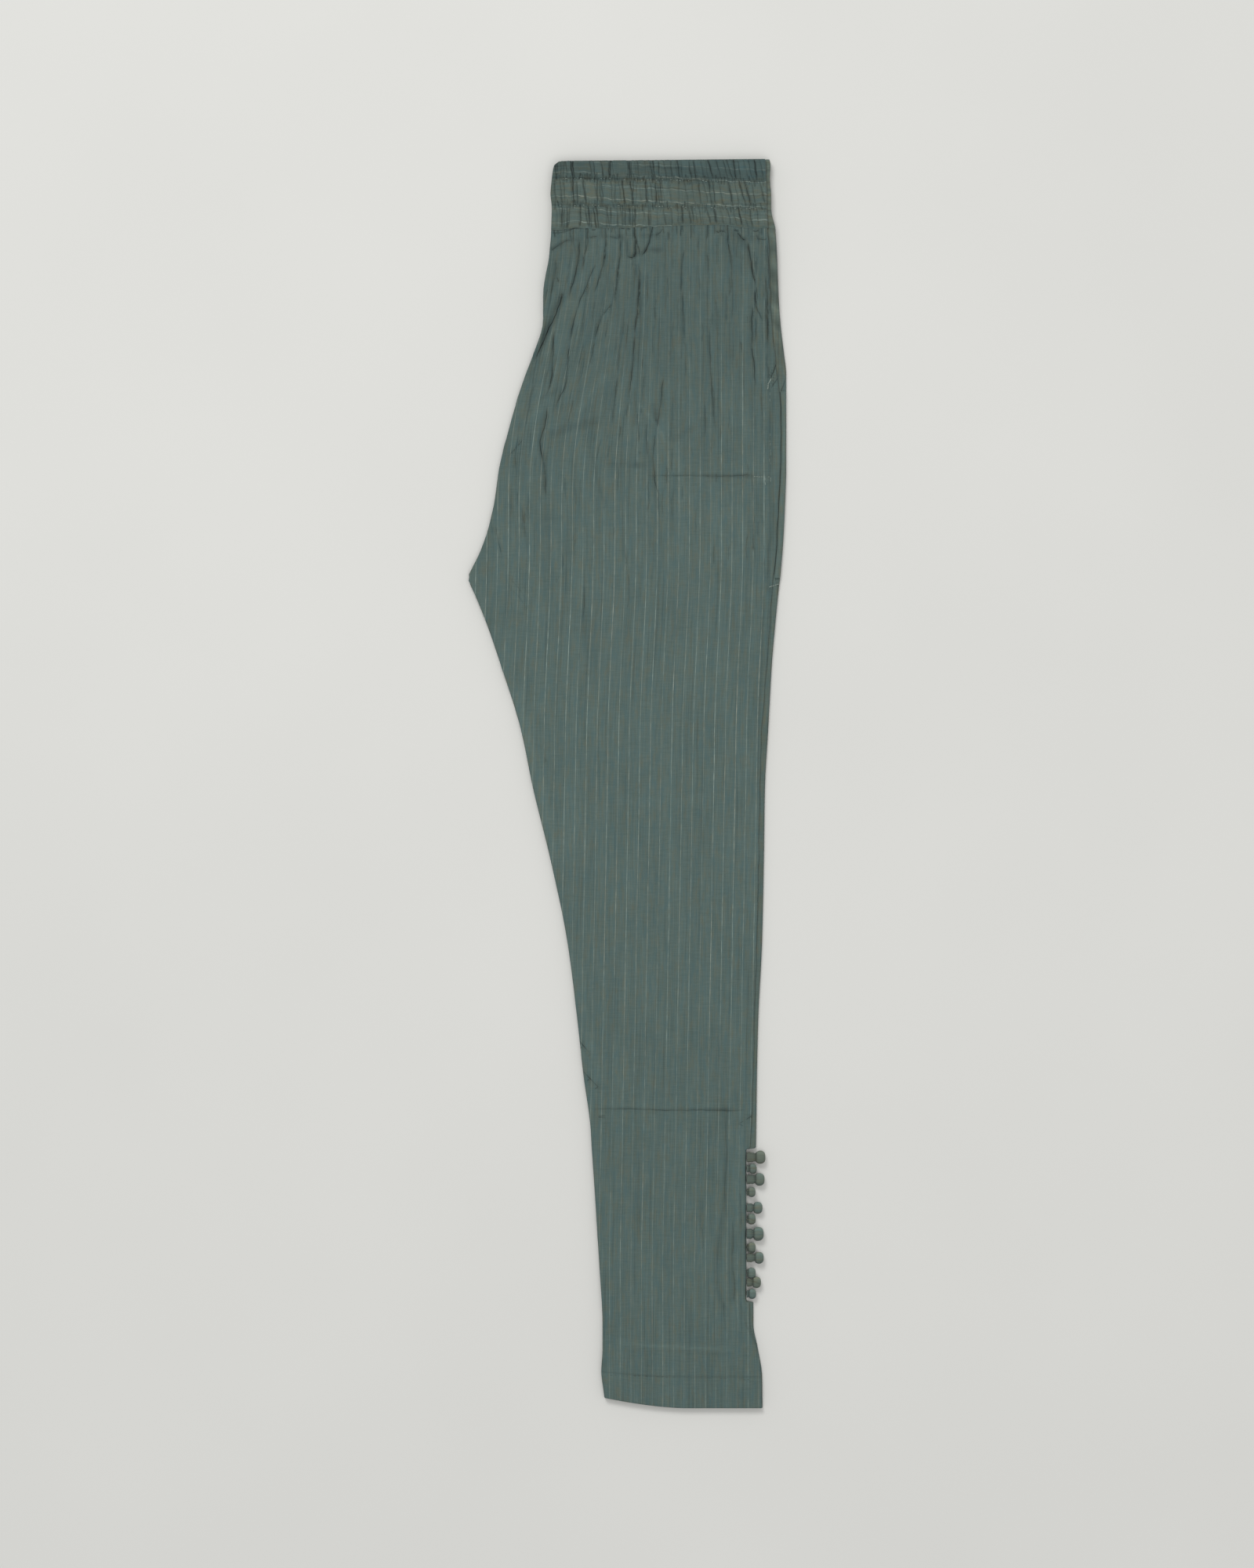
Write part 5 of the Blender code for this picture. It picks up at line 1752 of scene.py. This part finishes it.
class PANTS_OT_right_leg_front(bpy.types.Operator):
    """Makes the right front panel, which lies face down on the surface"""

    bl_idname = "pants.right_leg_front"
    bl_label = "Right leg front"

    def execute(self, context):
        drops = ring_drops(PLAIN_ROWS, LENGTH, SEWN_RADIUS)
        edges = (outline(LEG_OUTLINE, "left", drops), outline(LEG_OUTLINE, "right_lower", drops))
        faces = (level(PANEL_WALL), level(0.0))
        name, node = "right_leg_front", "right_front_panel"
        # It takes the top panel's look, so that panel's painted shade, painted light and fold shadows lie on
        # its flat faces
        leg_layer(context, name, node, drops, edges, faces, leg_front_look, UNDER_LEG_COLUMNS)
        return {"FINISHED"}


class PANTS_OT_waistband_front(bpy.types.Operator):
    """Makes the gathered quarter of the waistband that lies on top"""

    bl_idname = "pants.waistband_front"
    bl_label = "Waistband front"

    def execute(self, context):
        drops = ring_drops(BAND_ROWS, WAIST_SEAM_DROP - SEWN_GAP, EDGE_RADIUS, SEWN_RADIUS)
        edges = (outline(BAND_OUTLINE, "left", drops), outline(BAND_OUTLINE, "right_upper", drops))
        faces = (band_front_top, level(BAND_TOP + GAP))
        columns = (context.scene.pants_shape.band_columns, INNER_COLUMNS)
        name, node = "left_waistband_front", "left_front_waistband"
        band_layer(context, name, node, drops, edges, faces, band_sway, band_look, columns)
        return {"FINISHED"}


def band_front_top(x, drop):
    """Height of the outer face of the waistband's quarter on top."""
    return to_seam(BAND_TOP + GAP + BAND_WALL + band_parts(x, drop)[0], WAIST_SEAM_DROP - drop)


def band_sway(x, drop):
    """The sway of the garment, with the waist's top edge drawn down a little at each gather."""
    depth = crease_field(x, np.full(x.shape, BAND_EDGE_DROP), band_gathers())[0]
    return sway(x, drop) + BAND_EDGE_SCALLOP * depth * (1.0 - ease(drop / BAND_EDGE_REACH))


class PANTS_OT_waistband_hidden(bpy.types.Operator):
    """Makes the three quarters of the waistband underneath, which show at their edges"""

    bl_idname = "pants.waistband_hidden"
    bl_label = "Waistband underneath"

    def execute(self, context):
        drops = ring_drops(PLAIN_BAND_ROWS, WAIST_SEAM_DROP - SEWN_GAP, EDGE_RADIUS, SEWN_RADIUS)
        left = outline(BAND_OUTLINE, "left", drops)
        right = outline(BAND_OUTLINE, "right_lower", drops)
        middle = (BAND_WALL + GAP + BAND_TOP) / 2.0
        layers = (
            ("left_waistband_back", "folded_back_waistband", BAND_TOP, middle + GAP / 2.0, 51),
            ("right_waistband_back", "folded_back_waistband", middle - GAP / 2.0, BAND_WALL + GAP, 52),
            ("right_waistband_front", "right_front_waistband", BAND_WALL, 0.0, 53),
        )
        for name, node, high, low, seed in layers:
            edges = (left + wobble(drops, seed, 0.8), right)
            faces = (
                lambda x, drop: high - pinch(x, drop, seed),
                lambda x, drop: low + pinch(x, drop, seed),
            )
            shift = partial(pinched_sway, seed=seed)
            look = partial(pinched_look, seed=seed)
            band_layer(context, name, node, drops, edges, faces, shift, look, HIDDEN_BAND_COLUMNS)
        return {"FINISHED"}


class PANTS_OT_pocket_facings(bpy.types.Operator):
    """Makes the pocket facings that show along the side seam"""

    bl_idname = "pants.pocket_facings"
    bl_label = "Pocket facings"

    def execute(self, context):
        for name, node, area in FACINGS:
            low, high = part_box(node)
            drops = ring_drops((((WAIST_Y - high.y) / MM, FACING_STEP),), (WAIST_Y - low.y) / MM)
            right = outline(LEG_OUTLINE, "right_lower", drops) - GAP
            left = right - FACING_WIDTH
            if name == "left_facing":
                left = outline(LEG_OUTLINE, "right_upper", drops) + GAP
            faces = (level(high.z / MM), level(low.z / MM))
            piece = cloth_wall(
                name,
                cotton(context),
                drops,
                (left, right),
                faces,
                level(0.0),
                leg_grain,
                plain_look,
                FACING_COLUMNS,
                (EDGE_RADIUS, EDGE_RADIUS),
            )
            settle(piece, "striped_cotton", node)
        return {"FINISHED"}


def tack_height(x, drop):
    """Height of a bar tack on the left front panel or, past its edge, on the layer underneath."""
    over_panel, over_layer = TACK_HEIGHTS
    on_panel = x < outline(LEG_OUTLINE, "right_upper", drop) - TACK_OVER_EDGE
    return np.where(on_panel, leg_front_top(x, drop) + over_panel, core_top(drop) + over_layer)


class PANTS_OT_stitching(bpy.types.Operator):
    """Sews the rows of stitches that show: waistband, pocket, bar tacks and hem"""

    bl_idname = "pants.stitching"
    bl_label = "Stitching"

    def execute(self, context):
        width = context.scene.pants_shape.thread_width / MM
        start_x, start_drop = HEM_STITCH_START
        hem = [(x, start_drop + HEM_STITCH_SLANT * (x - start_x)) for x in HEM_STITCH_XS]
        rows = [stitch_row(hem, leg_front_top, "hem", width)]
        dull = sewing_thread("hem_polyester_thread", context.scene.pants_cloth.hem_thread)
        settle(thread_piece("hem_stitches", rows, dull), "striped_cotton")
        seam_x = lookup(SIDE_SEAM, SEAM_COLUMNS, "x", SEAM_STITCH_DROPS)
        seam = list(zip(seam_x - SEAM_STITCH_INSET, SEAM_STITCH_DROPS))
        rows = [stitch_row(seam, leg_front_top, "seam", width)]
        rows += [stitch_row(path, leg_front_top, "pocket", width) for path in POCKET_STITCH_PATHS]
        rows += [stitch_row(path, tack_height, "tack", width) for path in TACK_PATHS]
        settle(thread_piece("pocket_stitches", rows, thread(context)), "striped_cotton")
        rows = []
        for drop in BAND_STITCH_DROPS:
            path = [(x, drop + BAND_STITCH_SLANT * x) for x in BAND_STITCH_XS]
            rows.append(stitch_row(path, band_front_top, "waistband", width))
        settle(thread_piece("waistband_stitches", rows, thread(context)), "gathered_waistband")
        return {"FINISHED"}


class PANTS_OT_buttons(bpy.types.Operator):
    """Makes the cloth-covered ball buttons along the ankle's side seam"""

    bl_idname = "pants.buttons"
    bl_label = "Ankle buttons"

    def execute(self, context):
        nodes = sorted(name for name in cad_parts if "ankle_button" in name)
        for seed, node in enumerate(nodes):
            piece = covered_ball(node, seed, context.scene.pants_shape.button_pleats, cotton(context))
            settle(piece, "covered_button", node)
        return {"FINISHED"}


def button_rings(low_x, high_x, half_width, seed, start):
    """Place along x, girth, pleat depth and wrap angle of the rings of a button's tail and ball.

    The tail narrows to a tied neck. The ball is a flattened half-turn of a circle. Its pleats fade
    from the neck to its crown, and the wrapped edge turns slowly round both.
    """
    ball_length = BALL_LENGTH * half_width
    neck_x = high_x - ball_length
    tail = np.linspace(0.0, 1.0, TAIL_RINGS)
    ball = np.linspace(0.0, 1.0, BALL_RINGS)
    tail_x = low_x + (neck_x - NECK_GAP - low_x) * tail
    tail_girth = TAIL_GIRTH - NECK_NARROWER * ease((tail - 1.0) / NECK_SHARE + 1.0)
    tail_girth = tail_girth + TAIL_UNEVEN * np.sin(TAIL_WAVES * tail + seed)
    angles = np.radians(np.linspace(*BALL_ANGLES, BALL_RINGS))
    lowest = np.sin(angles[0])
    ball_x = neck_x + ball_length * (np.sin(angles) - lowest) / (1.0 - lowest)
    x = np.concatenate((tail_x, ball_x))
    girth = np.concatenate((tail_girth, np.cos(angles) ** BALL_ROUNDNESS))
    fade = np.concatenate((0.5 + 0.5 * tail, (1.0 - ball) ** PLEATS_FADE))
    wrap_at = np.concatenate((WRAP_AT_NECK * tail, WRAP_AT_NECK + ball))
    return x, girth, fade, start + WRAP_TURN * wrap_at, neck_x


def covered_ball(node, seed, pleats, material):
    """A cloth ball on a tail of cloth, lofted along x through oval rings.

    A ring's half width is its girth, with cosine pleats round it, less a bell at the wrapped edge.
    """
    draw = np.random.default_rng(BUTTON_SEED + seed)
    low, high = (np.array(corner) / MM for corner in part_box(node))
    _, half_width, half_height = (high - low) / 2.0
    centre_drop = WAIST_Y / MM - (high[1] + low[1]) / 2.0
    centre_z = (high[2] + low[2]) / 2.0
    start = draw.uniform(0.0, 6.0)
    x, girth, fade, wrap_at, neck_x = button_rings(low[0], high[0], half_width, seed, start)
    turn = -2.0 * math.pi * np.arange(BUTTON_SIDES) / BUTTON_SIDES
    waves = np.cos(pleats * turn + start) + 0.5 * np.cos(BROAD_PLEATS * turn - start)
    folds = PLEAT_DEPTH * np.outer(fade, waves)
    away = np.angle(np.exp(1j * (turn - wrap_at[:, None])))
    wrap = WRAP_DEPTH * bell(away, WRAP_HALF_WIDTH) * np.minimum(1.0, girth)[:, None]
    ring = girth[:, None] * (1.0 + folds - wrap)
    down = centre_drop - half_width * ring * np.cos(turn)
    height = centre_z + half_height * ring * np.sin(turn)
    along = np.broadcast_to(x[:, None], ring.shape)
    # Painted shade at the neck and the wrapped edge, painted light and shade on the pleats' crests and
    # hollows, and on the ball a painted highlight towards the waist and painted shade on its far side
    on_ball = ease((along - neck_x) / BALL_LIGHT_OVER)
    lit = BALL_LIT[0] * bell(1.0 - np.cos(turn), BALL_LIT[1])
    lit = lit - BALL_SHADED[0] * bell(1.0 + np.cos(turn), BALL_SHADED[1])
    shade = NECK_SHADE * bell(along - neck_x, NECK_SHADE_HALF_WIDTH) + WRAP_SHADE * wrap
    shade = shade - PLEAT_LIGHT * folds - on_ball * (BALL_LIGHT + lit) + BUTTON_SHADE
    points = np.stack((along, down, height), 2).reshape(-1, 3)
    cloth_x = np.broadcast_to(half_width * turn, ring.shape)
    uv = np.stack((cloth_x, along + BUTTON_CLOTH_STEP * seed), 2).reshape(-1, 2)
    look = np.zeros((ring.size, LOOKS))
    look[:, 0] = shade.ravel()
    look[:, 1] = draw.uniform(*BUTTON_COOLNESS)
    look[:, 3] = FAR
    return add_mesh(node + "_cloth", points, loft_faces(len(x), BUTTON_SIDES), uv, look, material)


class PANTS_OT_stage(bpy.types.Operator):
    """Lays the pale floor, hangs the soft lights and places the camera straight overhead"""

    bl_idname = "pants.stage"
    bl_label = "Stage"

    def execute(self, context):
        stage = context.scene.pants_stage
        self.lay_floor(context, stage)
        for name, power, size, place in LIGHTS:
            self.hang_light(context, name, getattr(stage, power), size, place)
        self.light_room(context, stage)
        self.place_camera(context, stage)
        context.scene.view_settings.view_transform = "Standard"
        return {"FINISHED"}

    def lay_floor(self, context, stage):
        half = FLOOR_HALF_SIDE
        corners = [(-half, -half), (half, -half), (half, half), (-half, half)]
        mesh = bpy.data.meshes.new("floor")
        mesh.from_pydata([(x, y, FLOOR_Z) for x, y in corners], [], [(0, 1, 2, 3)])
        mesh.materials.append(floor_paint("matte_floor_paint", stage))
        floor = bpy.data.objects.new("floor", mesh)
        context.scene.collection.objects.link(floor)

    def hang_light(self, context, name, power, size, place):
        light = bpy.data.lights.new(name, "AREA")
        light.energy = power
        light.size = size
        lamp = bpy.data.objects.new(name, light)
        lamp.location = place
        lamp.rotation_mode = "QUATERNION"
        lamp.rotation_quaternion = (-lamp.location).to_track_quat("-Z", "Y")
        context.scene.collection.objects.link(lamp)

    def light_room(self, context, stage):
        world = bpy.data.worlds.new("room")
        world.use_nodes = True
        background = world.node_tree.nodes["Background"]
        background.inputs["Color"].default_value = (1.0, 1.0, 1.0, 1.0)
        background.inputs["Strength"].default_value = stage.sky_strength
        context.scene.world = world

    def place_camera(self, context, stage):
        camera = bpy.data.cameras.new("overhead_camera")
        camera.lens = stage.lens
        camera.sensor_width = SENSOR_WIDTH
        holder = bpy.data.objects.new("overhead_camera", camera)
        middle = (CAD_BOX[0][1] + CAD_BOX[1][1]) / 2.0
        holder.location = (0.0, middle, FACE_HEIGHT + stage.view_length * stage.lens / SENSOR_WIDTH)
        context.scene.collection.objects.link(holder)
        context.scene.camera = holder


class PANTS_PT_panel(bpy.types.Panel):
    """Lists the pants' settings and the makers of their pieces"""

    bl_idname = "PANTS_PT_panel"
    bl_label = "Folded striped pants"
    bl_space_type = "VIEW_3D"
    bl_region_type = "UI"
    bl_category = "Pants"

    def draw(self, context):
        for group in (context.scene.pants_cloth, context.scene.pants_shape, context.scene.pants_stage):
            box = self.layout.box()
            for name in group.__annotations__:
                box.prop(group, name)
        for maker in MAKERS:
            self.layout.operator(maker.bl_idname)


GROUPS = {"pants_cloth": PantsCloth, "pants_shape": PantsShape, "pants_stage": PantsStage}
MAKERS = (
    PANTS_OT_left_leg_front,
    PANTS_OT_leg_backs,
    PANTS_OT_right_leg_front,
    PANTS_OT_waistband_front,
    PANTS_OT_waistband_hidden,
    PANTS_OT_pocket_facings,
    PANTS_OT_stitching,
    PANTS_OT_buttons,
    PANTS_OT_stage,
)


def register():
    """Makes the classes and the scene's settings known."""
    for kind in (*GROUPS.values(), *MAKERS, PANTS_PT_panel):
        bpy.utils.register_class(kind)
    for name, kind in GROUPS.items():
        setattr(bpy.types.Scene, name, PointerProperty(type=kind))


def unregister():
    """Takes back what register made known."""
    for name in GROUPS:
        delattr(bpy.types.Scene, name)
    for kind in reversed((*GROUPS.values(), *MAKERS, PANTS_PT_panel)):
        bpy.utils.unregister_class(kind)


def main():
    """Runs every maker in order."""
    register()
    for maker in MAKERS:
        group, name = maker.bl_idname.split(".")
        getattr(getattr(bpy.ops, group), name)()


if __name__ == "__main__":
    main()
